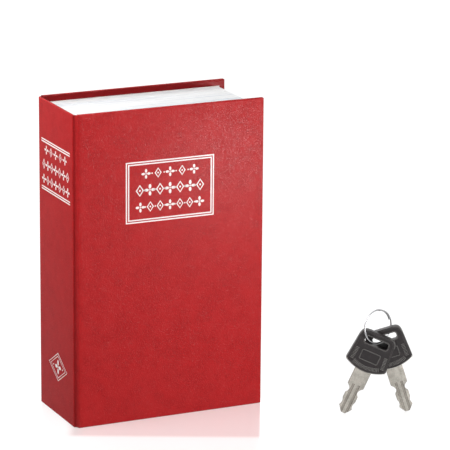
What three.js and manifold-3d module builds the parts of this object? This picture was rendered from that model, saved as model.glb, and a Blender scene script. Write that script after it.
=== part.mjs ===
// A diversion safe: a steel cash box inside an imitation hardback book, with its two keys.
// The book stands closed on its foot, and the keys stand on their tips beside it, on a split ring.
// Millimetres, +Z up. The spine is at the low X side, and the front cover at the low Y side.
// The origin is at the foot of the spine, in the middle of its thickness and of the book's depth.

import * as THREE from "three";
import { mergeVertices } from "three/addons/utils/BufferGeometryUtils.js";
import Module from "manifold-3d";

const wasm = await Module();
wasm.setup();

// Driving dimensions of the book
const bookHeight = 180;
const bookWidth = 115;
const bookDepth = 55;
const boardThickness = 2;
const clothThickness = 0.3;
const paperThickness = 0.2;
const glueLine = 0.05;
const turnInWidth = 12;
const paperMargin = 3.6;
const jointWidth = 1.85;
const jointRecess = 0.2;
const spineSetBack = 0.35;
const coverOverhang = 4;
const coverGap = 0.6;
const pageWall = 3;

// Driving dimensions of the cash box
const traySeat = 0.1;
const traySheet = 0.8;
const lipWidth = 9;
const lidThickness = 1;
const lidRecess = 2.3;
const lidMargin = 0.5;
const lidSeatGap = 0.3;

// Driving dimensions of the lid's hinge and of the rivets
const pinRadius = 0.8;
const pinClearance = 0.1;
const pinHeadRadius = 1.4;
const pinHeadHeight = 0.8;
const leafThickness = 0.8;
const lidLeafWidth = 13;
const boxLeafWidth = 14;
const hingeLength = 120;
const knuckleCount = 5;
const knuckleGap = 0.3;
const rivetRadius = 1.25;
const rivetHeadRadius = 2.5;
const rivetHeadHeight = 0.8;
const rivetRimHeight = 0.4;
const rivetCrownRadius = 1.75;
const rivetTailRadius = 1.9;
const rivetTailHeight = 0.5;
const rivetClearance = 0.05;
const hingeRivetCount = 3;
const hingeRivetMargin = 12;
const lidRivetInset = 7.5;
const boxRivetDepth = 9;

// Driving dimensions of the cam lock
const lockInset = 18.5;
const flangeRadius = 9.5;
const flangeThickness = 1.6;
const barrelRadius = 7.5;
const barrelFlat = 6.8;
const barrelLength = 15;
const lockHoleClearance = 0.2;
const nutAcrossFlats = 17;
const nutThickness = 3;
const plugRadius = 5.5;
const plugCollarRadius = 6.4;
const plugCollarThickness = 1.2;
const plugRecess = 0.2;
const plugClearance = 0.1;
const keywayWidth = 8.3;
const keywayThickness = 2.3;
const keywayDepth = 13;
const postSide = 6;
const camThickness = 1.5;
const camHubRadius = 7;
const camArmWidth = 11;
const camReach = 15.5;
const washerRadius = 5;
const washerThickness = 0.6;
const screwHeadRadius = 4.2;
const screwHeadHeight = 2;
const screwRadius = 1.9;
const screwLength = 5;
const crossSlotWidth = 1.1;
const crossSlotDepth = 1.2;
const crossSlotReach = 2.7;
const screwTipRoom = 0.5;

// Driving dimensions of the wafers and their springs, inside the plug
const waferCount = 4;
const waferPitch = 2.6;
const firstWafer = 3.6;
const waferThickness = 0.8;
const waferLength = 10.2;
const waferWidth = 4;
const waferWindowLength = 8;
const waferWindowWidth = 2.6;
const waferClearance = 0.1;
const waferTravel = 0.8;
const lugLength = 1;
const lugWidth = 1.6;
const lugEnd = 1.4;
const springWire = 0.2;
const springRadius = 0.42;
const springPitch = 0.68;
const springTurns = 4;
const pocketRoom = 0.1;

// Driving dimensions of the strike, which the cam turns behind
const strikeGap = 0.4;
const strikeThickness = 0.8;
const strikeWidth = 24;
const strikeReach = 8.7;
const strikeDepth = 12;
const strikeRivetPitch = 13;
const strikeRivetDrop = 6;

// Driving dimensions of a key
const headThickness = 4;
const headTopWidth = 21.6;
const headFootWidth = 24.4;
const headTop = 5.4;
const headShoulder = 15;
const headFoot = 18.6;
const headCorner = 4.2;
const slotLength = 14;
const slotWidth = 4.2;
const labelLength = 11;
const labelWidth = 5.8;
const labelRecess = 0.35;
const labelDrop = 9;
const bladeThickness = 2;
const shoulderWidth = 9.7;
const shoulderLength = 9.7;
const neckWidth = 5.2;
const neckLength = 5.6;
const bitWidth = 7.7;
const firstBitLength = 3.6;
const waistWidth = 6.3;
const waistLength = 4.6;
const tipWidth = 2.7;
const tipLength = 3.5;
const tangLength = 12.5;
const tangClearance = 0.05;
const grooveWidth = 1.1;
const grooveDepth = 0.45;
const grooveSpacing = 3.2;
const grooveInset = 8.8;

// Driving dimensions of the split ring, and where the key set stands
const ringWire = 0.8;
const ringRadius = 9.5;
const ringTurns = 1.2;
const ringPitch = 1.25;
const ringStart = THREE.MathUtils.degToRad(15);
const ringTurn = THREE.MathUtils.degToRad(38.2);
const ringLean = THREE.MathUtils.degToRad(3.4);
const ringShift = 0.7;
const ringDepth = 0.16;
const ringRise = 8.64;
const keySpacing = 0.4;
const keySetX = 166.2;
const keySetY = -68.5;
const keySetTurn = THREE.MathUtils.degToRad(-25);

// How far a cutting tool runs past what it cuts, and how deep joined shapes of one piece meet
const overshoot = 1;
const bite = 0.1;

// How finely round shapes are divided
const roundSegments = 32;
const fineSegments = 48;
const rivetSegments = 16;
const pinSegments = 20;
const washerSegments = 24;
const pocketSegments = 12;
const nutSides = 6;
const ringSteps = 30;
const ringSides = 6;
const springSteps = 8;
const springSides = 5;
const curveSegments = 6;
const mergeDistance = 1e-4;

// Places of the case
const coverThickness = boardThickness + 2 * (clothThickness + glueLine);
const spineOuter = -coverThickness / 2;
const spineInner = coverThickness / 2;
const foreEdge = spineOuter + bookWidth;
const frontOuter = -bookDepth / 2;
const frontInner = frontOuter + coverThickness;
const backOuter = bookDepth / 2;
const backInner = backOuter - coverThickness;
const jointEnd = spineInner + jointWidth;
const liningDepth = glueLine + paperThickness;

// Places of the page edges
const blockStart = spineInner + glueLine;
const blockFront = frontInner + coverGap;
const blockBack = backInner - liningDepth - glueLine;
const blockEnd = foreEdge - coverOverhang;
const blockFoot = coverOverhang;
const blockHead = bookHeight - coverOverhang;

// Places of the cash box
const lidOuter = blockFront + lidRecess;
const lidInner = lidOuter + lidThickness;
const trayFront = lidInner + lidSeatGap;
const trayStart = blockStart;
const trayEnd = blockEnd - pageWall - traySeat;
const trayFoot = blockFoot + pageWall + traySeat;
const trayHead = blockHead - pageWall - traySeat;
const trayInnerStart = trayStart + traySheet;
const trayInnerEnd = trayEnd - traySheet;
const leafBack = lidInner + glueLine + leafThickness;
const knuckleRadius = pinRadius + pinClearance + leafThickness;
const boxLeafStart = trayInnerStart + glueLine;
const boxLeafEnd = boxLeafStart + leafThickness;
const pinX = boxLeafStart + knuckleRadius;
const pinY = leafBack - knuckleRadius;
const hingeFoot = (bookHeight - hingeLength) / 2;
const hingeHead = hingeFoot + hingeLength;
const leafClear = knuckleRadius + knuckleGap;
const lidStart = pinX + leafClear;
const lidEnd = blockEnd - pageWall - lidMargin;
const lidFoot = blockFoot + pageWall + lidMargin;
const lidHead = blockHead - pageWall - lidMargin;

// Places of the lock
const lockX = lidEnd - lockInset;
const lockZ = bookHeight / 2;
const flangeBack = lidOuter - glueLine;
const flangeFront = flangeBack - flangeThickness;
const barrelEnd = lidOuter + barrelLength;
const plugFront = flangeFront + plugRecess;
const plugEnd = barrelEnd + lockHoleClearance;
const camFront = plugEnd + glueLine;
const camBack = camFront + camThickness;
const postEnd = camBack - glueLine;
const washerBack = camBack + glueLine + washerThickness;
const screwHeadFront = washerBack + glueLine;
const springFullLength = springTurns * springPitch + springWire;

// Places of a key, measured down from its slot
const neckStart = headFoot + shoulderLength;
const firstBitStart = neckStart + neckLength;
const waistStart = firstBitStart + firstBitLength;
const secondBit = waistStart + waistLength;
const keyReach = secondBit + tipLength;

// Closed shapes, and how they are joined and cut

// A closed geometry as a solid that can be joined and cut.
function solid(geometry) {
  const bare = geometry.index ? geometry.toNonIndexed() : geometry.clone();
  bare.deleteAttribute("normal");
  bare.deleteAttribute("uv");
  const merged = mergeVertices(bare, mergeDistance);
  return new wasm.Manifold(
    new wasm.Mesh({
      numProp: 3,
      vertProperties: merged.attributes.position.array,
      triVerts: new Uint32Array(merged.index.array),
    }),
  );
}

// A solid as the geometry of a mesh.
function geometryOf(shape) {
  const mesh = shape.getMesh();
  const geometry = new THREE.BufferGeometry();
  const points = new THREE.BufferAttribute(mesh.vertProperties, mesh.numProp);
  geometry.setAttribute("position", points);
  geometry.setIndex(new THREE.BufferAttribute(mesh.triVerts, 1));
  const flat = geometry.toNonIndexed();
  flat.computeVertexNormals();
  return flat;
}

const join = (first, ...others) => others.reduce((all, one) => all.add(one), first);
const cut = (first, ...tools) => tools.reduce((left, tool) => left.subtract(tool), first);
const around = (middle, half) => [middle - half, middle + half];
const inset = ([low, high], by) => [low + by, high - by];

// A box from its lowest to its highest value on each axis.
function block([x0, x1], [y0, y1], [z0, z1]) {
  const box = new THREE.BoxGeometry(x1 - x0, y1 - y0, z1 - z0);
  return solid(box.translate((x0 + x1) / 2, (y0 + y1) / 2, (z0 + z1) / 2));
}

// A round bar along one axis, from its low end to its high end, centred at the other two places.
function bar(axis, radius, [low, high], [a, b], segments = roundSegments) {
  const rod = new THREE.CylinderGeometry(radius, radius, high - low, segments);
  const middle = (low + high) / 2;
  if (axis === "x") return solid(rod.rotateZ(Math.PI / 2).translate(middle, a, b));
  if (axis === "y") return solid(rod.translate(a, middle, b));
  return solid(rod.rotateX(Math.PI / 2).translate(a, b, middle));
}

// A prism from an outline in X and Y, from its low to its high Z.
function prism(outline, [low, high]) {
  const settings = { depth: high - low, bevelEnabled: false, curveSegments };
  return solid(new THREE.ExtrudeGeometry(outline, settings).translate(0, 0, low));
}

// A wire of even thickness along the given points, with flat ends.
function wire(points, diameter, sides) {
  const section = new THREE.Shape();
  for (let i = 0; i < sides; i += 1) {
    const angle = (2 * Math.PI * i) / sides;
    const x = (Math.cos(angle) * diameter) / 2;
    const y = (Math.sin(angle) * diameter) / 2;
    if (i === 0) section.moveTo(x, y);
    else section.lineTo(x, y);
  }
  const path = new THREE.CatmullRomCurve3(points);
  return new THREE.ExtrudeGeometry(section, { steps: points.length - 1, extrudePath: path });
}

// The points of a coil around the Z axis, evenly spaced, centred on the origin.
function coilPoints(radius, pitch, turns, stepsPerTurn) {
  const points = [];
  const steps = turns * stepsPerTurn;
  for (let i = 0; i <= steps; i += 1) {
    const angle = (2 * Math.PI * i) / stepsPerTurn;
    const z = (pitch * i) / stepsPerTurn - (pitch * turns) / 2;
    points.push(new THREE.Vector3(radius * Math.cos(angle), radius * Math.sin(angle), z));
  }
  return points;
}

// The least gap between a coil's turns, measured between points at least half a turn apart.
function leastGap(points, diameter, stepsPerTurn) {
  let least = Infinity;
  for (let i = 0; i < points.length; i += 1) {
    for (let j = i + Math.ceil(stepsPerTurn / 2); j < points.length; j += 1) {
      least = Math.min(least, points[i].distanceTo(points[j]) - diameter);
    }
  }
  return least;
}

// Finishes

function finish(color, roughness, metalness = 0) {
  return new THREE.MeshStandardMaterial({ color, roughness, metalness });
}

const redCloth = finish(0xb02a2e, 0.62);
const greyBoard = finish(0x9a9186, 0.9);
const whitePaper = finish(0xf3f1ec, 0.85);
const pageEdge = finish(0xf4f4f3, 0.75);
const blackEnamel = finish(0x1b1c1f, 0.55, 0.2);
const zincPlate = finish(0xb9bcc0, 0.35, 0.9);
const nickel = finish(0xc9c6bf, 0.25, 1);
const brass = finish(0xb99a55, 0.35, 0.9);
const blackPlastic = finish(0x232224, 0.5);
const springSteel = finish(0xc4c8cc, 0.2, 1);

const book = new THREE.Group();

// Adds one named piece, made of one solid, to a group.
function add(name, shape, material, group = book) {
  const geometry = shape.isBufferGeometry ? shape : geometryOf(shape);
  const mesh = new THREE.Mesh(geometry, material);
  mesh.name = name;
  group.add(mesh);
  return mesh;
}

// The case: boards, covering and endpapers

const clothAndGlue = clothThickness + glueLine;

const boardX = [jointEnd, foreEdge];
const frontY = [frontOuter, frontInner];
const backY = [backInner, backOuter];
const spineX = [spineOuter, spineInner];
const spineY = [frontOuter + spineSetBack, backOuter - spineSetBack];
const fullZ = [0, bookHeight];

// The covering of one board: its outer sheet, its edges and the borders turned in behind it.
// The window between the turned-in borders opens towards the inner side of the book.
function coveredBoard(x, y, z, window) {
  const pocket = block(inset(x, clothThickness), inset(y, clothThickness), inset(z, clothThickness));
  return cut(block(x, y, z), pocket, window);
}

function boardIn(x, y, z) {
  return block(inset(x, clothAndGlue), inset(y, clothAndGlue), inset(z, clothAndGlue));
}

function coverWindow(x, yFrom, yTo) {
  return block(inset(x, turnInWidth), [yFrom, yTo], inset(fullZ, turnInWidth));
}

function addCase() {
  const frontMiddle = (frontOuter + frontInner) / 2;
  const frontWindow = coverWindow(boardX, frontMiddle, frontInner + overshoot);
  add("front_cover_covering", coveredBoard(boardX, frontY, fullZ, frontWindow), redCloth);
  add("front_cover_board", boardIn(boardX, frontY, fullZ), greyBoard);

  const backMiddle = (backOuter + backInner) / 2;
  const backWindow = coverWindow(boardX, backInner - overshoot, backMiddle);
  const back = coveredBoard(boardX, backY, fullZ, backWindow);
  const spineWindow = block(
    [0, spineInner + overshoot],
    inset(spineY, turnInWidth),
    inset(fullZ, turnInWidth),
  );
  const spine = coveredBoard(spineX, spineY, fullZ, spineWindow);
  const seam = clothThickness / 2;
  const stripOuter = backOuter - jointRecess;
  const backJoint = block(
    [spineInner - seam, jointEnd + seam],
    [stripOuter - clothThickness, stripOuter],
    fullZ,
  );
  add("spine_and_back_covering", join(back, spine, backJoint), redCloth);
  add("spine_board", boardIn(spineX, spineY, fullZ), greyBoard);
  add("back_cover_board", boardIn(boardX, backY, fullZ), greyBoard);

  const strip = block(
    [spineInner + glueLine, jointEnd - glueLine],
    [frontOuter + jointRecess, frontOuter + jointRecess + clothThickness],
    fullZ,
  );
  add("front_joint_strip", strip, redCloth);

  const paperX = [jointEnd + glueLine, foreEdge - paperMargin];
  const paperZ = inset(fullZ, paperMargin);
  const frontPaperY = [frontInner + glueLine, frontInner + liningDepth];
  const backPaperY = [backInner - liningDepth, backInner - glueLine];
  add("front_endpaper", block(paperX, frontPaperY, paperZ), whitePaper);
  add("back_endpaper", block(paperX, backPaperY, paperZ), whitePaper);
}

// The imitation page edges: one U-shaped moulding, open towards the spine

function addPageEdges() {
  const outer = block([blockStart, blockEnd], [blockFront, blockBack], [blockFoot, blockHead]);
  const inner = block(
    [blockStart - overshoot, blockEnd - pageWall],
    [blockFront - overshoot, blockBack + overshoot],
    [blockFoot + pageWall, blockHead - pageWall],
  );
  add("page_edges", cut(outer, inner), pageEdge);
}

// The rivets of the hinge and of the strike, each a head, a shank and a flat tail

// A rivet along an axis: its head starts at headAt and its shank ends at tailAt.
function rivet(axis, headAt, tailAt, at, tail = 0) {
  const out = Math.sign(headAt - tailAt);
  const ends = (from, to) => [Math.min(from, to), Math.max(from, to)];
  const round = (radius, from, to) => bar(axis, radius, ends(from, to), at, rivetSegments);
  const shank = round(rivetRadius, headAt + out * bite, tailAt);
  const rim = round(rivetHeadRadius, headAt, headAt + out * rivetRimHeight);
  const crown = round(rivetCrownRadius, headAt, headAt + out * rivetHeadHeight);
  const pieces = [shank, rim, crown];
  if (tail > 0) pieces.push(round(rivetTailRadius, tailAt - out * tail, tailAt));
  return join(...pieces);
}

const rivetHole = (axis, span, at) =>
  bar(axis, rivetRadius + rivetClearance, span, at, rivetSegments);

// Even places along the hinge for its rivets.
function hingeRivetHeights() {
  const heights = [];
  const first = hingeFoot + hingeRivetMargin;
  const step = (hingeLength - 2 * hingeRivetMargin) / (hingeRivetCount - 1);
  for (let i = 0; i < hingeRivetCount; i += 1) heights.push(first + i * step);
  return heights;
}

const lidRivetX = pinX + lidRivetInset;
const boxRivetY = pinY + boxRivetDepth;
const strikeY = [camFront - strikeGap - strikeDepth, camFront - strikeGap];
const strikeRivetY = strikeY[1] - strikeRivetDrop;
const strikeRivetHeights = around(lockZ, strikeRivetPitch / 2);

// The cash box: a folded tray with a turned lip round three sides of its mouth

function addTray() {
  const outer = block([trayStart, trayEnd], [trayFront, blockBack], [trayFoot, trayHead]);
  const inner = block(
    [trayInnerStart, trayInnerEnd],
    [trayFront + traySheet, blockBack - traySheet],
    inset([trayFoot, trayHead], traySheet),
  );
  const mouth = block(
    [trayInnerStart, trayEnd - lipWidth],
    [trayFront - overshoot, trayFront + traySheet + overshoot],
    inset([trayFoot, trayHead], lipWidth),
  );
  const hingeHoles = hingeRivetHeights().map((z) =>
    rivetHole("x", [trayStart - overshoot, trayInnerStart + overshoot], [boxRivetY, z]),
  );
  const strikeHoles = strikeRivetHeights.map((z) =>
    rivetHole("x", [trayInnerEnd - overshoot, trayEnd + overshoot], [strikeRivetY, z]),
  );
  add("box_tray", cut(outer, inner, mouth, ...hingeHoles, ...strikeHoles), blackEnamel);
}

// The lid, with a double-flatted hole for the lock

// The lock's threaded barrel is round with two flats, which stop it turning in the lid.
function flattedBar(radius, flat, span) {
  const round = bar("y", radius, span, [lockX, lockZ]);
  const between = block(around(lockX, radius), span, around(lockZ, flat));
  return round.intersect(between);
}

function addLid() {
  const plate = block([lidStart, lidEnd], [lidOuter, lidInner], [lidFoot, lidHead]);
  const through = [lidOuter - overshoot, lidInner + overshoot];
  const lockHole = flattedBar(
    barrelRadius + lockHoleClearance,
    barrelFlat + lockHoleClearance,
    through,
  );
  const holes = hingeRivetHeights().map((z) => rivetHole("y", through, [lidRivetX, z]));
  add("lid_panel", cut(plate, lockHole, ...holes), blackEnamel);
}

// The hinge: two leaves whose knuckles take turns along one pin

// The stretches of the hinge that belong to one leaf: the even ones or the odd ones.
function knuckleSpans(odd) {
  const spans = [];
  const pitch = hingeLength / knuckleCount;
  for (let i = odd; i < knuckleCount; i += 2) {
    const low = hingeFoot + i * pitch;
    spans.push([low + knuckleGap / 2, low + pitch - knuckleGap / 2]);
  }
  return spans;
}

// A leaf is its plate, and a tongue and a tube for each of its knuckles, bored for the pin.
function hingeLeaf(plate, tongue, odd, holes) {
  const spans = knuckleSpans(odd);
  const tongues = spans.map(tongue);
  const tubes = spans.map((span) => bar("z", knuckleRadius, span, [pinX, pinY]));
  const bore = bar(
    "z",
    pinRadius + pinClearance,
    [hingeFoot - overshoot, hingeHead + overshoot],
    [pinX, pinY],
  );
  return cut(join(plate, ...tongues, ...tubes), bore, ...holes);
}

function addHinge() {
  const hingeZ = [hingeFoot, hingeHead];
  const heights = hingeRivetHeights();

  const lidLeafEnd = pinX + lidLeafWidth;
  const lidLeafY = [leafBack - leafThickness, leafBack];
  const lidLeafPlate = block([lidStart, lidLeafEnd], lidLeafY, hingeZ);
  const lidTongue = (span) => block([pinX, lidStart], lidLeafY, span);
  const lidHoles = heights.map((z) =>
    rivetHole("y", [lidInner - overshoot, leafBack + overshoot], [lidRivetX, z]),
  );
  add("hinge_leaf_lid", hingeLeaf(lidLeafPlate, lidTongue, 1, lidHoles), zincPlate);

  const boxLeafX = [boxLeafStart, boxLeafEnd];
  const boxLeafPlate = block(boxLeafX, [pinY + leafClear, pinY + boxLeafWidth], hingeZ);
  const boxTongue = (span) => block(boxLeafX, [pinY, pinY + leafClear], span);
  const boxHoles = heights.map((z) =>
    rivetHole("x", [boxLeafStart - overshoot, boxLeafEnd + overshoot], [boxRivetY, z]),
  );
  add("hinge_leaf_box", hingeLeaf(boxLeafPlate, boxTongue, 0, boxHoles), zincPlate);

  const pinHeadFoot = hingeHead + knuckleGap;
  const round = (radius, span) => bar("z", radius, span, [pinX, pinY], pinSegments);
  const pin = round(pinRadius, [hingeFoot - pinHeadHeight, pinHeadFoot + bite]);
  const pinHead = round(pinHeadRadius, [pinHeadFoot, pinHeadFoot + pinHeadHeight]);
  add("hinge_pin", join(pin, pinHead), zincPlate);

  heights.forEach((z, i) => {
    const lidRivet = rivet(
      "y",
      lidOuter - glueLine,
      leafBack + rivetTailHeight,
      [lidRivetX, z],
      rivetTailHeight - glueLine,
    );
    add(`lid_rivet_${i + 1}`, lidRivet, zincPlate);
    const boxRivet = rivet("x", boxLeafEnd + glueLine, trayStart, [boxRivetY, z]);
    add(`box_rivet_${i + 1}`, boxRivet, zincPlate);
  });
}

// The strike: an angle bracket on the fore-edge wall, which the cam turns behind

function addStrike() {
  const strikeZ = around(lockZ, strikeWidth / 2);
  const legEnd = trayInnerEnd - glueLine;
  const legStart = legEnd - strikeThickness;
  const leg = block([legStart, legEnd], strikeY, strikeZ);
  const tabY = [strikeY[1] - strikeThickness, strikeY[1]];
  const tab = block([legEnd - strikeReach, legEnd], tabY, strikeZ);
  const holes = strikeRivetHeights.map((z) =>
    rivetHole("x", [legStart - overshoot, legEnd + overshoot], [strikeRivetY, z]),
  );
  add("strike_bracket", cut(join(leg, tab), ...holes), zincPlate);
  strikeRivetHeights.forEach((z, i) => {
    const strikeRivet = rivet("x", legStart - glueLine, trayEnd, [strikeRivetY, z]);
    add(`strike_rivet_${i + 1}`, strikeRivet, zincPlate);
  });
}

// The cam lock: flanged barrel and nut, plug, wafers with springs, cam, washer and screw

// The places along the plug where a wafer stands.
function waferPlaces() {
  const places = [];
  for (let i = 0; i < waferCount; i += 1) places.push(plugFront + firstWafer + i * waferPitch);
  return places;
}

// A wafer's plate, and the lug that its spring pushes.
function waferPlate(y) {
  const thickness = around(y, waferThickness / 2);
  const lugX = [lockX - lugEnd - lugLength, lockX - lugEnd];
  return join(
    block(around(lockX, waferLength / 2), thickness, around(lockZ, waferWidth / 2)),
    block(lugX, thickness, [lockZ, lockZ + waferWidth / 2 + lugWidth]),
  );
}

// The slot that a wafer slides in, right through the plug, with room for the lug's travel.
function waferSlot(y) {
  const thickness = around(y, waferThickness / 2 + waferClearance);
  const lugStart = lockX - lugEnd - lugLength - waferTravel - waferClearance;
  const lugTop = lockZ + waferWidth / 2 + lugWidth + waferClearance;
  const halfSlot = waferWidth / 2 + waferClearance;
  return join(
    block(around(lockX, plugRadius + overshoot), thickness, around(lockZ, halfSlot)),
    block([lugStart, lockX - lugEnd + waferClearance], thickness, [lockZ, lugTop]),
  );
}

// The crossed grooves in the barrel that the wafers spring out into at each quarter turn.
function waferGrooves() {
  const reach = waferLength / 2 + waferTravel + waferClearance;
  const half = waferWidth / 2 + waferClearance;
  const start = waferPlaces()[0] - waferThickness / 2 - waferClearance;
  const y = [start, barrelEnd + overshoot];
  return join(
    block(around(lockX, reach), y, around(lockZ, half)),
    block(around(lockX, half), y, around(lockZ, reach)),
  );
}

const lockAt = [lockX, lockZ];
const collarBack = plugFront + plugCollarThickness;
const screwEnd = screwHeadFront - screwLength;
const halfPost = postSide / 2;
const springZ = lockZ + waferWidth / 2 + lugWidth / 2;
const springStart = lockX - lugEnd + waferClearance;

function addBarrel() {
  const flange = bar("y", flangeRadius, [flangeFront, flangeBack], lockAt, fineSegments);
  const barrel = join(flange, flattedBar(barrelRadius, barrelFlat, [flangeBack - bite, barrelEnd]));
  const boreY = [flangeFront - overshoot, barrelEnd + overshoot];
  const bore = bar("y", plugRadius + plugClearance, boreY, lockAt);
  const counterboreY = [flangeFront - overshoot, collarBack + plugClearance];
  const counterbore = bar("y", plugCollarRadius + plugClearance, counterboreY, lockAt);
  add("lock_barrel", cut(barrel, bore, counterbore, waferGrooves()), nickel);

  const nutRadius = nutAcrossFlats / Math.sqrt(3);
  const nutFront = lidInner + glueLine;
  const nutSpan = [nutFront, nutFront + nutThickness];
  const nutHole = flattedBar(
    barrelRadius + rivetClearance,
    barrelFlat + rivetClearance,
    [nutFront - overshoot, nutFront + nutThickness + overshoot],
  );
  add("lock_nut", cut(bar("y", nutRadius, nutSpan, lockAt, nutSides), nutHole), brass);
}

function addPlug() {
  const body = join(
    bar("y", plugCollarRadius, [plugFront, collarBack], lockAt),
    bar("y", plugRadius, [plugFront, plugEnd], lockAt),
    block(around(lockX, halfPost), [plugEnd - bite, postEnd], around(lockZ, halfPost)),
  );
  const keyway = block(
    around(lockX, keywayWidth / 2),
    [plugFront - overshoot, plugFront + keywayDepth],
    around(lockZ, keywayThickness / 2),
  );
  const screwHoleY = [screwEnd - screwTipRoom, postEnd + overshoot];
  const screwHole = bar("y", screwRadius + rivetClearance, screwHoleY, lockAt, pinSegments);
  const slots = waferPlaces().map(waferSlot);
  const pocketRadius = springRadius + springWire / 2 + pocketRoom;
  const pocketX = [lockX - lugEnd, springStart + springFullLength + pocketRoom];
  const pockets = waferPlaces().map((y) =>
    bar("x", pocketRadius, pocketX, [y, springZ], pocketSegments),
  );
  add("lock_plug", cut(body, keyway, screwHole, ...slots, ...pockets), nickel);
}

function addWafers() {
  waferPlaces().forEach((y, i) => {
    const window = block(
      around(lockX, waferWindowLength / 2),
      around(y, waferThickness),
      around(lockZ, waferWindowWidth / 2),
    );
    add(`lock_wafer_${i + 1}`, cut(waferPlate(y), window), brass);
    const points = coilPoints(springRadius, springPitch, springTurns, springSteps);
    const spring = wire(points, springWire, springSides);
    spring.rotateY(Math.PI / 2);
    spring.translate(springStart + springFullLength / 2, y, springZ);
    add(`wafer_spring_${i + 1}`, spring, springSteel);
    if (i === 0) {
      console.log("wafer spring, least gap", leastGap(points, springWire, springSteps).toFixed(2));
    }
  });
}

function addCam() {
  const camY = [camFront, camBack];
  const hub = bar("y", camHubRadius, camY, lockAt);
  const halfArm = camArmWidth / 2;
  const armTip = bar("y", halfArm, camY, [lockX, lockZ + camReach - halfArm]);
  const arm = block(around(lockX, halfArm), camY, [lockZ, lockZ + camReach - halfArm]);
  const halfHole = halfPost + rivetClearance;
  const postHole = block(
    around(lockX, halfHole),
    [camFront - overshoot, camBack + overshoot],
    around(lockZ, halfHole),
  );
  add("lock_cam", cut(join(hub, arm, armTip), postHole), zincPlate);

  const washerY = [washerBack - washerThickness, washerBack];
  const holeY = [camBack - overshoot, washerBack + overshoot];
  const washer = cut(
    bar("y", washerRadius, washerY, lockAt, washerSegments),
    bar("y", screwRadius + lockHoleClearance, holeY, lockAt, washerSegments),
  );
  add("cam_washer", washer, springSteel);

  const headBack = screwHeadFront + screwHeadHeight;
  const screw = join(
    bar("y", screwHeadRadius, [screwHeadFront, headBack], lockAt, washerSegments),
    bar("y", screwRadius, [screwEnd, screwHeadFront + bite], lockAt, pinSegments),
  );
  const half = crossSlotWidth / 2;
  const slotY = [headBack - crossSlotDepth, headBack + overshoot];
  const cross = [
    block(around(lockX, crossSlotReach), slotY, around(lockZ, half)),
    block(around(lockX, half), slotY, around(lockZ, crossSlotReach)),
  ];
  add("cam_screw", cut(screw, ...cross), zincPlate);
}

// A key, with its slot at the local origin, its tip towards -Y and its flat faces square to Z

// The head's outline: narrow at the top, wide at the foot, with round upper corners.
function headOutline() {
  const top = headTopWidth / 2;
  const foot = headFootWidth / 2;
  const outline = new THREE.Shape();
  const cornerFoot = headTop - headCorner;
  const sideSlope = (foot - top) / (headShoulder + cornerFoot);
  const corner = top - sideSlope * headCorner;
  outline.moveTo(-foot, -headShoulder);
  outline.quadraticCurveTo(0, -2 * headFoot + headShoulder, foot, -headShoulder);
  outline.lineTo(top, cornerFoot);
  outline.quadraticCurveTo(corner, headTop, top - headCorner, headTop);
  outline.lineTo(headCorner - top, headTop);
  outline.quadraticCurveTo(-corner, headTop, -top, cornerFoot);
  outline.closePath();
  return outline;
}

// A cut in the blade's edge: a curve from one half width to the next, drawn in to a third between.
function cutEdge(outline, [fromHalf, fromDrop], [toHalf, toDrop], drawnIn, side) {
  const pull = 2 * drawnIn - (fromHalf + toHalf) / 2;
  const middle = (fromDrop + toDrop) / 2;
  outline.quadraticCurveTo(side * pull, -middle, side * toHalf, -toDrop);
}

// The blade's outline: shoulders, a neck, two bits with a waist between them, and a narrow tip.
function bladeOutline() {
  const shoulder = shoulderWidth / 2;
  const neck = neckWidth / 2;
  const bit = bitWidth / 2;
  const waist = waistWidth / 2;
  const tip = tipWidth / 2;
  const outline = new THREE.Shape();
  outline.moveTo(-shoulder, -headShoulder);
  outline.lineTo(-shoulder, -neckStart);
  cutEdge(outline, [shoulder, neckStart], [bit, firstBitStart], neck, -1);
  outline.lineTo(-bit, -waistStart);
  cutEdge(outline, [bit, waistStart], [bit, secondBit], waist, -1);
  outline.lineTo(-tip, -keyReach);
  outline.lineTo(tip, -keyReach);
  outline.lineTo(bit, -secondBit);
  cutEdge(outline, [bit, secondBit], [bit, waistStart], waist, 1);
  outline.lineTo(bit, -firstBitStart);
  cutEdge(outline, [bit, firstBitStart], [shoulder, neckStart], neck, 1);
  outline.lineTo(shoulder, -headShoulder);
  outline.closePath();
  return outline;
}

function addKey(index, group) {
  const half = headThickness / 2;
  const halfBlade = bladeThickness / 2;
  const head = prism(headOutline(), around(0, half));
  const slotZ = around(0, half + overshoot);
  const slot = block(around(0, slotLength / 2), around(0, slotWidth / 2), slotZ);
  const label = (low, high) =>
    block(around(0, labelLength / 2), around(-labelDrop, labelWidth / 2), [low, high]);
  const tangTop = -headFoot + tangLength;
  const room = halfBlade + tangClearance;
  const tangX = shoulderWidth / 2;
  const pocket = block(
    around(0, tangX + tangClearance),
    [-keyReach, tangTop + tangClearance],
    around(0, room),
  );
  const labelFloor = half - labelRecess;
  const labels = [label(labelFloor, half + overshoot), label(-half - overshoot, -labelFloor)];
  add(`key_${index}_head`, cut(head, slot, pocket, ...labels), blackPlastic, group);

  const tang = block(around(0, tangX), [-headShoulder - bite, tangTop], around(0, halfBlade));
  const blade = prism(bladeOutline(), around(0, halfBlade));
  const floor = halfBlade - grooveDepth;
  const grooveY = [-keyReach - overshoot, -headFoot - grooveInset];
  const grooves = [-1, 1].flatMap((side) => {
    const grooveX = around((side * grooveSpacing) / 2, grooveWidth / 2);
    return [
      block(grooveX, grooveY, [floor, halfBlade + overshoot]),
      block(grooveX, grooveY, [-halfBlade - overshoot, -floor]),
    ];
  });
  add(`key_${index}_blade`, cut(join(tang, blade), ...grooves), nickel, group);
}

// Where each key's slot is along the key set, and how far its tip is splayed towards low X.
const keyPoses = [
  { x: 0, splay: THREE.MathUtils.degToRad(23.6) },
  { x: 4.8, splay: THREE.MathUtils.degToRad(-18) },
];

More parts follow.
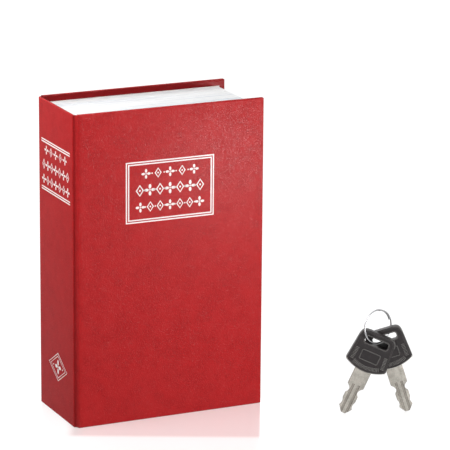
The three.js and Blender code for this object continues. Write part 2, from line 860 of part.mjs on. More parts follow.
// The height of a key's slot when its tip stands on the floor.
function standingHeight(splay) {
  return keyReach * Math.cos(splay) + (tipWidth / 2) * Math.abs(Math.sin(splay));
}

function addKeySet() {
  const keySet = new THREE.Group();
  keySet.position.set(keySetX, keySetY, 0);
  keySet.rotation.z = keySetTurn;
  book.add(keySet);

  const points = coilPoints(ringRadius, ringPitch, ringTurns, ringSteps);
  console.log("key ring, least gap", leastGap(points, ringWire, ringSteps).toFixed(2));
  const upright = new THREE.Group();
  const front = keyPoses[0];
  upright.position.set(ringShift, ringDepth, standingHeight(front.splay) + ringRise);
  upright.rotation.set(Math.PI / 2 - ringLean, 0, ringTurn, "ZYX");
  keySet.add(upright);
  add("key_ring", wire(points, ringWire, ringSides).rotateZ(ringStart), springSteel, upright);

  keyPoses.forEach((pose, i) => {
    const key = new THREE.Group();
    const side = i === 0 ? -1 : 1;
    key.position.set(pose.x, (side * (headThickness + keySpacing)) / 2, standingHeight(pose.splay));
    key.rotation.set(Math.PI / 2, pose.splay, 0, "YXZ");
    keySet.add(key);
    addKey(i + 1, key);
  });
}

addCase();
addPageEdges();
addTray();
addLid();
addHinge();
addStrike();
addBarrel();
addPlug();
addWafers();
addCam();
addKeySet();

export default book;
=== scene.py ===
"""Looks of a book diversion safe with its two keys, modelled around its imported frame.

The book stands closed on its foot. Beside it the two keys stand on their tips, joined by a
split ring. Every length is in metres, in the frame's own axes: +Z up, the spine at low X,
the front cover at low Y.
"""

import logging
import math
import random
from dataclasses import dataclass
from enum import Enum
from typing import Iterable, Sequence

import bmesh
import bpy
from bmesh.types import BMesh, BMEdge, BMFace, BMVert
from mathutils import Matrix, Vector, noise
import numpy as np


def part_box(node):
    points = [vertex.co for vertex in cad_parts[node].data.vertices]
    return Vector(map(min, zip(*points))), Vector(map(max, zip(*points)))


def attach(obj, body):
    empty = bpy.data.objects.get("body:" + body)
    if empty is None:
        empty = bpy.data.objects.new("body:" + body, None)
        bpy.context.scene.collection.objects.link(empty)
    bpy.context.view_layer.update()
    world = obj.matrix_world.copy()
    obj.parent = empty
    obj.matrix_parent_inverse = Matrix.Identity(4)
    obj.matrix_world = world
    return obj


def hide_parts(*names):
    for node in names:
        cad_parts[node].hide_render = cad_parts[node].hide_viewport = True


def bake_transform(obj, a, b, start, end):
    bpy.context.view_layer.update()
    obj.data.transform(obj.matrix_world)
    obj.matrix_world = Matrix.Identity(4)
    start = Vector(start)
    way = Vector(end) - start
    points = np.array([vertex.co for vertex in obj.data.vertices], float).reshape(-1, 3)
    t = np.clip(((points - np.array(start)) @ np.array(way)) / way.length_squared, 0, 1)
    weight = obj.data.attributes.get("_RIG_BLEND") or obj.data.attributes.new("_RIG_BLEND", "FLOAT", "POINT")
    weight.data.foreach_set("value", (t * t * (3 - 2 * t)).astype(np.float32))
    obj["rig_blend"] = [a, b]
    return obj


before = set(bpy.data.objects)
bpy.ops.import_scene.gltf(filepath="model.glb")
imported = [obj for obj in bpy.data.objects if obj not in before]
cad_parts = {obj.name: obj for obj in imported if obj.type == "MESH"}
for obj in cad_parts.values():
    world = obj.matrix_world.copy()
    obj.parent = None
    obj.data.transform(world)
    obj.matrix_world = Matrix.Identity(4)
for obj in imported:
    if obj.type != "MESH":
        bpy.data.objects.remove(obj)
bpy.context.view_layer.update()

LOG = logging.getLogger("book_safe")
MM = 0.001
SMALL = 1e-5
QUARTER_TURN = math.pi / 2
FULL_TURN = 2 * math.pi
SQUARE_CORNER = 60.0
MERGE_GAP = 0.002 * MM
FLAT_ANGLE = math.radians(0.8)
EDGE_WEAR = 0.5
REST_ATTRIBUTE = "rest_place"
MARK_ATTRIBUTE = "mark"

# The book's outer faces, which several classes share.
BOOK_HEIGHT = 180 * MM
COVER_FACE = 27.5 * MM
COVER_END = 113.65 * MM
SPINE_FACE = -1.35 * MM

Pair = tuple[float, float]
Triple = tuple[float, float, float]
Colour = Triple
Socket = bpy.types.NodeSocket


class Body(Enum):
    """The moving bodies that pieces ride on."""

    CASE = "case"
    FRONT_COVER = "front_cover"
    LID = "lid"
    LOCK_CORE = "lock_core"
    RING = "ring"
    KEY_1 = "key_1"
    KEY_2 = "key_2"


class Slot(Enum):
    """The record's material slots."""

    RED_COVERING = "red_covering"
    GREY_BOARD = "grey_board"
    ENDPAPER = "endpaper"
    PAGE_EDGE = "page_edge"
    BLACK_ENAMEL = "black_enamel"
    ZINC_PLATE = "zinc_plate"
    NICKEL_PLATE = "nickel_plate"
    BRASS = "brass"
    BLACK_PLASTIC = "black_plastic"
    SPRING_STEEL = "spring_steel"


@dataclass(frozen=True)
class Pattern:
    """A soft random pattern, and the band of its values that rises from 0 to 1."""

    scale: float
    detail: float
    band: Pair = (0.0, 1.0)


def rgba(colour: Colour) -> tuple[float, float, float, float]:
    """A colour with full alpha."""
    return (*colour, 1.0)


class Shader:
    """Builds one node material around its Principled BSDF."""

    NOISE_ROUGHNESS = 0.55

    def __init__(self, name: str) -> None:
        """Starts an empty material.

        Args:
            name: the material's name.
        """
        self.material = bpy.data.materials.new(name)
        self.material.use_nodes = True
        self.tree = self.material.node_tree
        self.bsdf = self.tree.nodes["Principled BSDF"]

    def put(self, node: bpy.types.Node, inputs: dict) -> None:
        """Sets or links a node's inputs.

        Args:
            node: the node whose inputs are set.
            inputs: input names or numbers, with a value or a socket each.
        """
        for key, value in inputs.items():
            if isinstance(value, Socket):
                self.tree.links.new(value, node.inputs[key])
            else:
                node.inputs[key].default_value = value

    def add(self, kind: str, inputs: dict, **settings: object) -> bpy.types.Node:
        """Adds a node.

        Args:
            kind: the node's type.
            inputs: its inputs, as put() takes them.
            **settings: its properties.

        Returns:
            The new node.
        """
        node = self.tree.nodes.new(kind)
        for key, value in settings.items():
            setattr(node, key, value)
        self.put(node, inputs)
        return node

    def place(self, stretch: Triple = (1, 1, 1), attribute: str = "") -> Socket:
        """The place that patterns are read at.

        Args:
            stretch: how much finer the pattern is along each axis.
            attribute: a stored place to read in place of Object coordinates.

        Returns:
            The vector socket.
        """
        if attribute:
            node = self.add("ShaderNodeAttribute", {}, attribute_name=attribute)
            source = node.outputs["Vector"]
        else:
            source = self.add("ShaderNodeTexCoord", {}).outputs["Object"]
        mapping = self.add("ShaderNodeMapping", {"Vector": source, "Scale": tuple(stretch)})
        return mapping.outputs["Vector"]

    def marks(self) -> Socket:
        """How strongly each face is marked: rubbed or chipped, and on the keys painted highlight and painted
        shade.
        """
        node = self.add("ShaderNodeAttribute", {}, attribute_name=MARK_ATTRIBUTE)
        return node.outputs["Fac"]

    def noise(self, where: Socket, pattern: Pattern) -> Socket:
        """A random pattern's own values, from 0 to 1.

        Args:
            where: the place to read it at.
            pattern: the pattern.

        Returns:
            The socket of its values.
        """
        inputs = {
            "Vector": where,
            "Scale": pattern.scale,
            "Detail": pattern.detail,
            "Roughness": self.NOISE_ROUGHNESS,
        }
        return self.add("ShaderNodeTexNoise", inputs).outputs["Fac"]

    def patches(self, where: Socket, pattern: Pattern) -> Socket:
        """A random pattern cut to its band: 0 between its patches, and 1 on them."""
        return self.band(self.noise(where, pattern), *pattern.band)

    def band(self, value: Socket, low: float, high: float) -> Socket:
        """Turns a value into 0 below low and 1 above high, with a smooth rise between.

        Args:
            value: the socket to read.
            low: where the rise starts.
            high: where it ends, which may be below low for a fall.

        Returns:
            The socket of the result.
        """
        inputs = {"Value": value, "From Min": low, "From Max": high}
        node = self.add("ShaderNodeMapRange", inputs, interpolation_type="SMOOTHSTEP")
        return node.outputs["Result"]

    def between(self, value: Socket, ends: Pair) -> Socket:
        """Spreads a value from 0 to 1 between two ends, such as a roughness's."""
        inputs = {"Value": value, "To Min": ends[0], "To Max": ends[1]}
        return self.add("ShaderNodeMapRange", inputs).outputs["Result"]

    def math(self, operation: str, a: object, b: object) -> Socket:
        """One Math node of two inputs."""
        return self.add("ShaderNodeMath", {0: a, 1: b}, operation=operation).outputs[0]

    def times(self, a: object, b: object) -> Socket:
        """One value times another."""
        return self.math("MULTIPLY", a, b)

    def blend(self, share: object, first: object, second: object) -> Socket:
        """Mixes two colours.

        Args:
            share: how much of the second, from 0 to 1.
            first: a colour or a socket.
            second: a colour or a socket.

        Returns:
            The colour socket.
        """
        inputs = {0: share, 6: first, 7: second}
        for key in (6, 7):
            if isinstance(inputs[key], tuple):
                inputs[key] = rgba(inputs[key])
        return self.add("ShaderNodeMix", inputs, data_type="RGBA").outputs[2]

    def bump(self, height: Socket, distance: float, under: Socket | None = None) -> Socket:
        """A raised pattern.

        Args:
            height: the pattern's socket, from 0 to 1.
            distance: how high 1 stands.
            under: the normal of a coarser pattern below it.

        Returns:
            The normal socket.
        """
        inputs = {"Height": height, "Distance": distance}
        if under is not None:
            inputs["Normal"] = under
        return self.add("ShaderNodeBump", inputs).outputs["Normal"]

    def done(self, **sockets: object) -> bpy.types.Material:
        """Sets the BSDF's inputs and gives the material.

        Args:
            **sockets: input names with underscores for spaces, and their values or sockets.

        Returns:
            The finished material.
        """
        self.put(self.bsdf, {key.replace("_", " "): value for key, value in sockets.items()})
        return self.material


@dataclass(frozen=True)
class Leatherette:
    """Red imitation leather: small embossed pebbles under a thin gloss, rubbed edges, and shade painted into
    the joints and the turned-in lining.
    """

    red: Colour = (0.455, 0.0160, 0.0180)
    deep: Colour = (0.438, 0.0145, 0.0165)
    dark: Colour = (0.195, 0.0055, 0.0065)
    # dark: the dye in the emboss's creases, and the painted shade in the joints and on the lining.
    rubbed: Colour = (0.560, 0.110, 0.105)
    mottle: Pattern = Pattern(70.0, 5, (0.30, 0.70))
    pebble_scale: float = 980.0
    pebble_side: float = 0.20
    pebble_height: float = 0.048 * MM
    sway_scale: float = 420.0
    sway_reach: float = 1.1 * MM
    fine: Pattern = Pattern(2600.0, 2)
    fine_height: float = 0.012 * MM
    wave: Pattern = Pattern(120.0, 3)
    wave_height: float = 0.03 * MM
    creased: Pattern = Pattern(160.0, 2, (0.34, 0.68))
    crease_share: float = 0.36
    flecks: Pattern = Pattern(760.0, 3, (0.54, 0.76))
    fleck_share: float = 0.18
    rub: Pattern = Pattern(320.0, 4, (0.50, 0.74))
    rub_reach: float = 0.9 * MM
    rub_share: float = 0.45
    roughness: Pair = (0.50, 0.68)
    gloss: float = 0.165
    gloss_roughness: float = 0.26
    # Painted shade: a band along the joint by the spine, and the turned-in lining inside the covers.
    joint: Pair = (0.8 * MM, 0.0)
    joint_shade: float = 0.40
    spine_corner: Pair = (-1.0 * MM, -0.6 * MM)
    lining_side: Pair = (25.5 * MM, 25.1 * MM)
    lining_start: Pair = (-0.3 * MM, 0.3 * MM)
    lining_shade: float = 0.84

    def pebbles(self, shader: Shader, where: Socket) -> Socket:
        """The emboss: uneven pebbles at 1, and the creases between them at 0.

        Args:
            shader: the material that is being built.
            where: the place to read it at.

        Returns:
            The socket of its height.
        """
        inputs = {"Vector": where, "Scale": self.sway_scale, "Detail": 2.0}
        sway = shader.add("ShaderNodeTexNoise", inputs).outputs["Color"]
        middle = (0.5, 0.5, 0.5)
        for operation, inputs in (
            ("SUBTRACT", {1: middle}),
            ("SCALE", {"Scale": self.sway_reach}),
            ("ADD", {1: where}),
        ):
            inputs[0] = sway
            node = shader.add("ShaderNodeVectorMath", inputs, operation=operation)
            sway = node.outputs["Vector"]
        inputs = {"Vector": sway, "Scale": self.pebble_scale}
        cells = shader.add("ShaderNodeTexVoronoi", inputs, feature="DISTANCE_TO_EDGE")
        return shader.band(cells.outputs["Distance"], 0.0, self.pebble_side)

    def worn_edges(self, shader: Shader, where: Socket) -> Socket:
        """How rubbed each place is, near the boards' outer edges.

        Args:
            shader: the material that is being built.
            where: the place to read it at.

        Returns:
            The socket of its share.
        """
        split = shader.add("ShaderNodeSeparateXYZ", {"Vector": where})
        x, z = split.outputs["X"], split.outputs["Z"]
        to_fore_edge = shader.math("SUBTRACT", COVER_END, x)
        to_head = shader.math("SUBTRACT", BOOK_HEIGHT, z)
        nearest = shader.math("MINIMUM", shader.math("MINIMUM", to_head, z), to_fore_edge)
        edge = shader.band(nearest, self.rub_reach, 0.0)
        return shader.times(shader.times(edge, shader.patches(where, self.rub)), self.rub_share)

    def painted_shade(self, shader: Shader, where: Socket) -> Socket:
        """How much painted shade darkens each place: most in the joints and on the turned-in cloth.

        Args:
            shader: the material that is being built.
            where: the place to read it at.

        Returns:
            The socket of its share.
        """
        split = shader.add("ShaderNodeSeparateXYZ", {"Vector": where})
        x = split.outputs["X"]
        across = shader.math("ABSOLUTE", split.outputs["Y"], 0.0)
        joint = shader.times(shader.band(x, *self.joint), shader.band(x, *self.spine_corner))
        inside = shader.times(
            shader.band(across, *self.lining_side), shader.band(x, *self.lining_start)
        )
        deepest = (
            shader.times(joint, self.joint_shade),
            shader.times(inside, self.lining_shade),
        )
        return shader.math("MAXIMUM", *deepest)

    def colour(self, shader: Shader, where: Socket, pebbles: Socket) -> Socket:
        """The dye, darker in the creases and paler in flecks and where rubbed, with shade painted into the
        joints and the lining.

        Args:
            shader: the material that is being built.
            where: the place to read it at.
            pebbles: the emboss's height.

        Returns:
            The colour socket.
        """
        ground = shader.blend(shader.patches(where, self.mottle), self.deep, self.red)
        share = shader.times(shader.patches(where, self.creased), self.crease_share)
        crease = shader.times(shader.math("SUBTRACT", 1.0, pebbles), share)
        cloth = shader.blend(crease, ground, self.dark)
        flecks = shader.times(shader.patches(where, self.flecks), self.fleck_share)
        flecked = shader.blend(flecks, cloth, self.rubbed)
        # Painted shade: the joints and the turned-in lining are blended towards dark.
        shaded = shader.blend(self.painted_shade(shader, where), flecked, self.dark)
        return shader.blend(self.worn_edges(shader, where), shaded, self.rubbed)

    def material(self) -> bpy.types.Material:
        """Builds the material, which reads the place stored at rest.

        Returns:
            The finished material.
        """
        shader = Shader("red_leatherette")
        where = shader.place(attribute=REST_ATTRIBUTE)
        pebbles = self.pebbles(shader, where)
        fine = shader.noise(where, self.fine)
        wave = shader.bump(shader.noise(where, self.wave), self.wave_height)
        emboss = shader.bump(pebbles, self.pebble_height, wave)
        grain = shader.bump(fine, self.fine_height, emboss)
        return shader.done(
            Base_Color=self.colour(shader, where, pebbles),
            Roughness=shader.between(fine, self.roughness),
            Normal=grain,
            Specular_IOR_Level=0.0,
            Coat_Weight=self.gloss,
            Coat_Roughness=self.gloss_roughness,
            Coat_Normal=grain,
        )


@dataclass(frozen=True)
class Foil:
    """White stamping foil, with specks where the emboss shows through."""

    white: Colour = (0.900, 0.820, 0.805)
    thin: Colour = (0.760, 0.480, 0.460)
    specks: Pattern = Pattern(1900.0, 3, (0.60, 0.72))
    worn: Pattern = Pattern(130.0, 3, (0.45, 0.75))
    grain: Pattern = Pattern(1100.0, 3)
    grain_height: float = 0.03 * MM
    roughness: Pair = (0.34, 0.50)

    def material(self) -> bpy.types.Material:
        """Builds the material.

        Returns:
            The finished material.
        """
        shader = Shader("white_foil")
        where = shader.place(attribute=REST_ATTRIBUTE)
        worn = shader.patches(where, self.worn)
        share = shader.times(shader.patches(where, self.specks), worn)
        return shader.done(
            Base_Color=shader.blend(share, self.white, self.thin),
            Roughness=shader.between(worn, self.roughness),
            Normal=shader.bump(shader.noise(where, self.grain), self.grain_height),
        )


@dataclass(frozen=True)
class PageEdge:
    """Imitation page edges: pale, with faint grey lines that run with the leaves."""

    pale: Colour = (0.872, 0.876, 0.876)
    line: Colour = (0.520, 0.555, 0.620)
    leaf_stretch: Triple = (5, 1300, 5)
    leaves: Pattern = Pattern(1.0, 3, (0.45, 0.72))
    leaf_height: float = 0.09 * MM
    broad_stretch: Triple = (9, 170, 9)
    broad: Pattern = Pattern(1.0, 3, (0.38, 0.66))
    section_stretch: Triple = (6, 430, 6)
    sections: Pattern = Pattern(1.0, 2, (0.50, 0.68))
    section_share: float = 0.66
    roughness: Pair = (0.55, 0.80)

    def material(self) -> bpy.types.Material:
        """Builds the material, whose lines are thin across the block and long around it.

        Returns:
            The finished material.
        """
        shader = Shader("page_edges")
        lines = shader.noise(shader.place(self.leaf_stretch), self.leaves)
        broad = shader.patches(shader.place(self.broad_stretch), self.broad)
        thin = shader.times(shader.band(lines, *self.leaves.band), broad)
        sections = shader.patches(shader.place(self.section_stretch), self.sections)
        share = shader.math("MAXIMUM", thin, shader.times(sections, self.section_share))
        return shader.done(
            Base_Color=shader.blend(share, self.pale, self.line),
            Roughness=shader.between(lines, self.roughness),
            Normal=shader.bump(lines, self.leaf_height),
        )


@dataclass(frozen=True)
class Paper:
    """Lining paper or grey board: flat, with short fibres."""

    name: str
    ground: Colour
    fibre: Colour
    roughness: Pair = (0.77, 0.91)
    stretch: Triple = (1, 1, 0.22)
    fibres: Pattern = Pattern(900.0, 4, (0.50, 0.80))
    fibre_height: float = 0.03 * MM
    clouds: Pattern = Pattern(45.0, 3, (0.20, 0.80))

    def material(self) -> bpy.types.Material:
        """Builds the material.

        Returns:
            The finished material.
        """
        shader = Shader(self.name)
        where = shader.place(self.stretch)
        fibres = shader.noise(where, self.fibres)
        clouds = shader.noise(where, self.clouds)
        share = shader.times(
            shader.band(fibres, *self.fibres.band), shader.band(clouds, *self.clouds.band)
        )
        return shader.done(
            Base_Color=shader.blend(share, self.ground, self.fibre),
            Roughness=shader.between(clouds, self.roughness),
            Normal=shader.bump(fibres, self.fibre_height),
        )


@dataclass(frozen=True)
class Enamel:
    """Black stoved enamel on sheet steel, with an orange-peel skin and dusty rub marks."""

    black: Colour = (0.016, 0.016, 0.018)
    dusty: Colour = (0.050, 0.050, 0.053)
    worn: Colour = (0.170, 0.168, 0.165)
    peel: Pattern = Pattern(650.0, 2)
    peel_height: float = 0.03 * MM
    dust: Pattern = Pattern(38.0, 5, (0.48, 0.78))
    chips: Pattern = Pattern(240.0, 4, (0.50, 0.66))
    roughness: Pair = (0.32, 0.52)

    def material(self) -> bpy.types.Material:
        """Builds the material.

        Returns:
            The finished material.
        """
        shader = Shader("black_enamel")
        where = shader.place()
        dust = shader.patches(where, self.dust)
        chipped = shader.times(shader.marks(), shader.patches(where, self.chips))
        skin = shader.blend(dust, self.black, self.dusty)
        return shader.done(
            Base_Color=shader.blend(chipped, skin, self.worn),
            Roughness=shader.between(dust, self.roughness),
            Normal=shader.bump(shader.noise(where, self.peel), self.peel_height),
        )


@dataclass(frozen=True)
class Metal:
    """Plated or bare metal, with fine drawn scratches, cloudy patches and marked places."""

    name: str
    bright: Colour
    dull: Colour
    marked: Colour
    roughness: Pair = (0.18, 0.38)
    drawn: Triple = (1, 1, 14)
    scratches: Pattern = Pattern(420.0, 4)
    scratch_height: float = 0.004 * MM
    clouds: Pattern = Pattern(210.0, 3, (0.35, 0.70))

    def material(self) -> bpy.types.Material:
        """Builds the material.

        Returns:
            The finished material.
        """
        shader = Shader(self.name)
        lines = shader.noise(shader.place(self.drawn), self.scratches)
        clouds = shader.patches(shader.place(), self.clouds)
        plain = shader.blend(clouds, self.bright, self.dull)
        return shader.done(
            Base_Color=shader.blend(shader.marks(), plain, self.marked),
            Metallic=1.0,
            Roughness=shader.between(lines, self.roughness),
            Normal=shader.bump(lines, self.scratch_height),
        )


@dataclass(frozen=True)
class MouldedPlastic:
    """Black moulded plastic with a fine spark-eroded grain, pale where it is marked: rubbed, and painted
    with the highlights that its edges and raised lines catch.
    """

    black: Colour = (0.016, 0.0130, 0.0135)
    grey: Colour = (0.032, 0.026, 0.027)
    # rubbed: the pale of rubbed plastic, which the key heads' marks also use as painted highlight.
    rubbed: Colour = (0.560, 0.545, 0.510)
    grain: Pattern = Pattern(2200.0, 3)
    grain_height: float = 0.02 * MM
    greyed: Pattern = Pattern(190.0, 4, (0.45, 0.75))
    roughness: Pair = (0.40, 0.56)
    shine: float = 0.32

    def material(self) -> bpy.types.Material:
        """Builds the material.

        Returns:
            The finished material.
        """
        shader = Shader("black_plastic")
        where = shader.place()
        patches = shader.patches(where, self.greyed)
        plain = shader.blend(patches, self.black, self.grey)
        return shader.done(
            Base_Color=shader.blend(shader.marks(), plain, self.rubbed),
            Roughness=shader.between(patches, self.roughness),
            Normal=shader.bump(shader.noise(where, self.grain), self.grain_height),
            Specular_IOR_Level=self.shine,
        )


class Finish:
    """A finish's material, with the record's slot that it belongs to."""

    def __init__(self, look: object, slot: Slot) -> None:
        """Builds the material.

        Args:
            look: the finish's class, with a material() method.
            slot: the record's slot.
        """
        self.material = look.material()
        self.slot = slot


class Finishes:
    """Every finish of the object, built once."""

    def __init__(self) -> None:
        """Builds the materials."""
        self.leatherette = Finish(Leatherette(), Slot.RED_COVERING)
        self.foil = Finish(Foil(), Slot.RED_COVERING)
        self.page_edge = Finish(PageEdge(), Slot.PAGE_EDGE)
        endpaper = Paper("endpaper", ground=(0.82, 0.81, 0.78), fibre=(0.70, 0.68, 0.64))
        board = Paper(
            "grey_board",
            ground=(0.33, 0.29, 0.25),
            fibre=(0.20, 0.17, 0.14),
            roughness=(0.82, 0.96),
            fibres=Pattern(500.0, 4, (0.50, 0.80)),
        )
        zinc = Metal(
            "zinc_plate",
            bright=(0.50, 0.52, 0.54),
            dull=(0.38, 0.40, 0.42),
            marked=(0.62, 0.63, 0.64),
            roughness=(0.24, 0.44),
        )
        nickel = Metal(
            "nickel_plate",
            bright=(0.455, 0.430, 0.385),
            dull=(0.33, 0.315, 0.280),
            # marked: painted shade in the key blades' grooves and along their cut edges; on the lock's
            # rounded edges, wear.
            marked=(0.070, 0.048, 0.034),
        )
        brass = Metal(
            "brass", bright=(0.62, 0.44, 0.18), dull=(0.46, 0.31, 0.12), marked=(0.30, 0.19, 0.08)
        )
        spring_steel = Metal(
            "spring_steel",
            bright=(0.40, 0.40, 0.41),
            dull=(0.28, 0.28, 0.29),
            marked=(0.2, 0.2, 0.2),
            roughness=(0.10, 0.26),
            drawn=(1, 1, 1),
        )
        self.endpaper = Finish(endpaper, Slot.ENDPAPER)
        self.board = Finish(board, Slot.GREY_BOARD)
        self.enamel = Finish(Enamel(), Slot.BLACK_ENAMEL)
        self.zinc = Finish(zinc, Slot.ZINC_PLATE)
        self.nickel = Finish(nickel, Slot.NICKEL_PLATE)
        self.brass = Finish(brass, Slot.BRASS)
        self.plastic = Finish(MouldedPlastic(), Slot.BLACK_PLASTIC)
        self.spring_steel = Finish(spring_steel, Slot.SPRING_STEEL)


def shift(bm: BMesh, verts: Iterable[BMVert], by: Sequence[float]) -> None:
    """Moves vertices."""
    bmesh.ops.translate(bm, verts=list(verts), vec=Vector(by))


def move(bm: BMesh, matrix: Matrix) -> None:
    """Moves and turns a whole mesh."""
    bmesh.ops.transform(bm, matrix=matrix, verts=bm.verts)


def swap_sides(bm: BMesh) -> None:
    """Turns a mesh made at low Y into its mirror image at high Y."""
    bmesh.ops.scale(bm, verts=bm.verts, vec=(1, -1, 1))


def made_verts(made: dict) -> list[BMVert]:
    """The vertices among what an operator made."""
    return [g for g in made["geom"] if isinstance(g, BMVert)]


def made_rim(made: dict, verts: Iterable[BMVert]) -> list[BMEdge]:
    """The edges among what an operator made that join two of these vertices.

    Args:
        made: the operator's result.
        verts: the vertices.

    Returns:
        The edges.
    """
    known = set(verts)
    edges = (g for g in made["geom"] if isinstance(g, BMEdge))
    return [e for e in edges if all(v in known for v in e.verts)]


def raise_faces(bm: BMesh, height: float) -> None:
    """Carries a flat mesh up along Z into a closed solid."""
    made = bmesh.ops.extrude_face_region(bm, geom=bm.faces[:], use_keep_orig=True)
    shift(bm, made_verts(made), (0, 0, height))


def cut_window(bm: BMesh, face: BMFace, margin: float) -> None:
    """Cuts a face away but for a margin along its edges."""
    bmesh.ops.inset_region(bm, faces=[face], thickness=margin, use_boundary=True)
    bmesh.ops.delete(bm, geom=[face], context="FACES_ONLY")


def block(x: Pair, y: Pair, z: Pair) -> BMesh:
    """A box.

    Args:
        x: its lowest and highest X.
        y: its lowest and highest Y.
        z: its lowest and highest Z.

    Returns:
        The new mesh.
    """
    bm = bmesh.new()
    bmesh.ops.create_cube(bm, size=1.0)
    bmesh.ops.scale(bm, verts=bm.verts, vec=[high - low for low, high in (x, y, z)])
    shift(bm, bm.verts, [(low + high) / 2 for low, high in (x, y, z)])
    return bm


def mark(bm: BMesh, faces: Iterable[BMFace], amount: float) -> None:
    """Marks faces as worn, or with painted highlight or shade, for the finish to show.

    Args:
        bm: the mesh.
        faces: the faces.
        amount: how strongly they are marked, up to 1.
    """
    layers = bm.faces.layers.float
    layer = layers.get(MARK_ATTRIBUTE) or layers.new(MARK_ATTRIBUTE)
    for face in faces:
        face[layer] = amount


def soften(
    bm: BMesh, edges: Iterable[BMEdge], radius: float, segments: int = 3, worn: float = 0.0
) -> None:
    """Rounds edges.

    Args:
        bm: the mesh.
        edges: the edges to round.
        radius: how round they become.
        segments: how many faces make the rounding.
        worn: how strongly the rounding is marked.
    """
    chosen = list(edges)
    # The layer has to be there before the bevel, so that its new faces have it too.
    mark(bm, (), 0.0)
    made = bmesh.ops.bevel(
        bm,
        geom=chosen,
        offset=radius,
        offset_type="OFFSET",
        segments=segments,
        profile=0.5,
        affect="EDGES",
        clamp_overlap=True,
        material=-1,
    )
    mark(bm, [face for face in made["faces"] if face.is_valid], worn)


def corners(bm: BMesh, least: float = 35.0) -> list[BMEdge]:
    """The edges whose faces meet at more than so many degrees."""
    limit = math.radians(least)
    return [e for e in bm.edges if len(e.link_faces) == 2 and e.calc_face_angle() > limit]


def merged_copy(node: str) -> BMesh:
    """A copy of a CAD node's mesh, with its loose triangles joined into flat faces.

    Args:
        node: the CAD node.

    Returns:
        The new mesh.
    """
    bm = bmesh.new()
    bm.from_mesh(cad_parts[node].data)
    bmesh.ops.remove_doubles(bm, verts=bm.verts, dist=MERGE_GAP)
    bmesh.ops.dissolve_limit(bm, angle_limit=FLAT_ANGLE, verts=bm.verts, edges=bm.edges)
    return bm


def thicken(bm: BMesh, wall: float) -> None:
    """Gives an open shell its wall, inwards from its faces."""
    bmesh.ops.recalc_face_normals(bm, faces=bm.faces)
    bmesh.ops.solidify(bm, geom=bm.faces[:], thickness=wall)


def join_into(target: BMesh, other: BMesh) -> None:
    """Adds another mesh to the target and frees it.

    Args:
        target: the mesh that grows.
        other: the mesh that is added.
    """
    spare = bpy.data.meshes.new("spare")
    other.to_mesh(spare)
    other.free()
    target.from_mesh(spare)
    bpy.data.meshes.remove(spare)


def piece(
    bm: BMesh,
    name: str,
    finish: Finish,
    body: Body | None = None,
    stands_for: Sequence[str] = (),
    smooth: float = 32.0,
    outward: bool = True,
) -> bpy.types.Object:
    """Makes a finished piece from a mesh.

    Args:
        bm: the mesh, which is freed.
        name: the piece's name.
        finish: its finish.
        body: the body that it rides on, or None where it is blended afterwards.
        stands_for: the CAD nodes that it replaces.
        smooth: the angle in degrees above which an edge stays sharp.
        outward: whether its faces are turned outwards here.

    Returns:
        The new object.
    """
    if outward:
        bmesh.ops.recalc_face_normals(bm, faces=bm.faces)
    mesh = bpy.data.meshes.new(name)
    bm.to_mesh(mesh)
    bm.free()
    mesh.materials.append(finish.material)
    mesh.polygons.foreach_set("use_smooth", [True] * len(mesh.polygons))
    mesh.set_sharp_from_angle(angle=math.radians(smooth))
    rest = mesh.attributes.new(REST_ATTRIBUTE, "FLOAT_VECTOR", "POINT")
    rest.data.foreach_set("vector", [c for v in mesh.vertices for c in v.co])
    obj = bpy.data.objects.new(name, mesh)
    bpy.context.scene.collection.objects.link(obj)
    if body is not None:
        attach(obj, body.value)
    if stands_for:
        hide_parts(*stands_for)
    LOG.info("%s: %d faces", name, len(mesh.polygons))
    return obj


def dress(node: str, finish: Finish) -> None:
    """Gives a CAD node its finish.

    Args:
        node: the CAD node.
        finish: its finish, in the slot that the record gives the node.
    """
    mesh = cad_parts[node].data
    mesh.materials.clear()
    mesh.materials.append(finish.material)
    LOG.info("%s: carried over", node)


def refine(
    node: str,
    finish: Finish,
    body: Body,
    radius: float,
    segments: int = 2,
    behind: float | None = None,
) -> None:
    """Replaces a CAD node by a copy of it with rounded, half worn edges.

    Args:
        node: the CAD node.
        finish: its finish.
        body: the body that the node rides on.
        radius: how round its edges are.
        segments: how many faces make the rounding.
        behind: the Y behind which its edges stay sharp, or None where all are rounded.
    """
    bm = merged_copy(node)
    edges = corners(bm)
    if behind is not None:
        edges = [e for e in edges if all(v.co.y < behind for v in e.verts)]
    soften(bm, edges, radius, segments, EDGE_WEAR)
    obj = piece(bm, f"{node}_finish", finish, body, (node,))
    # The large faces set the shading, so that they look flat beside the rounded edges.
    weighting = obj.modifiers.new("flat_faces", "WEIGHTED_NORMAL")
    weighting.keep_sharp = True
    weighting.weight = 100


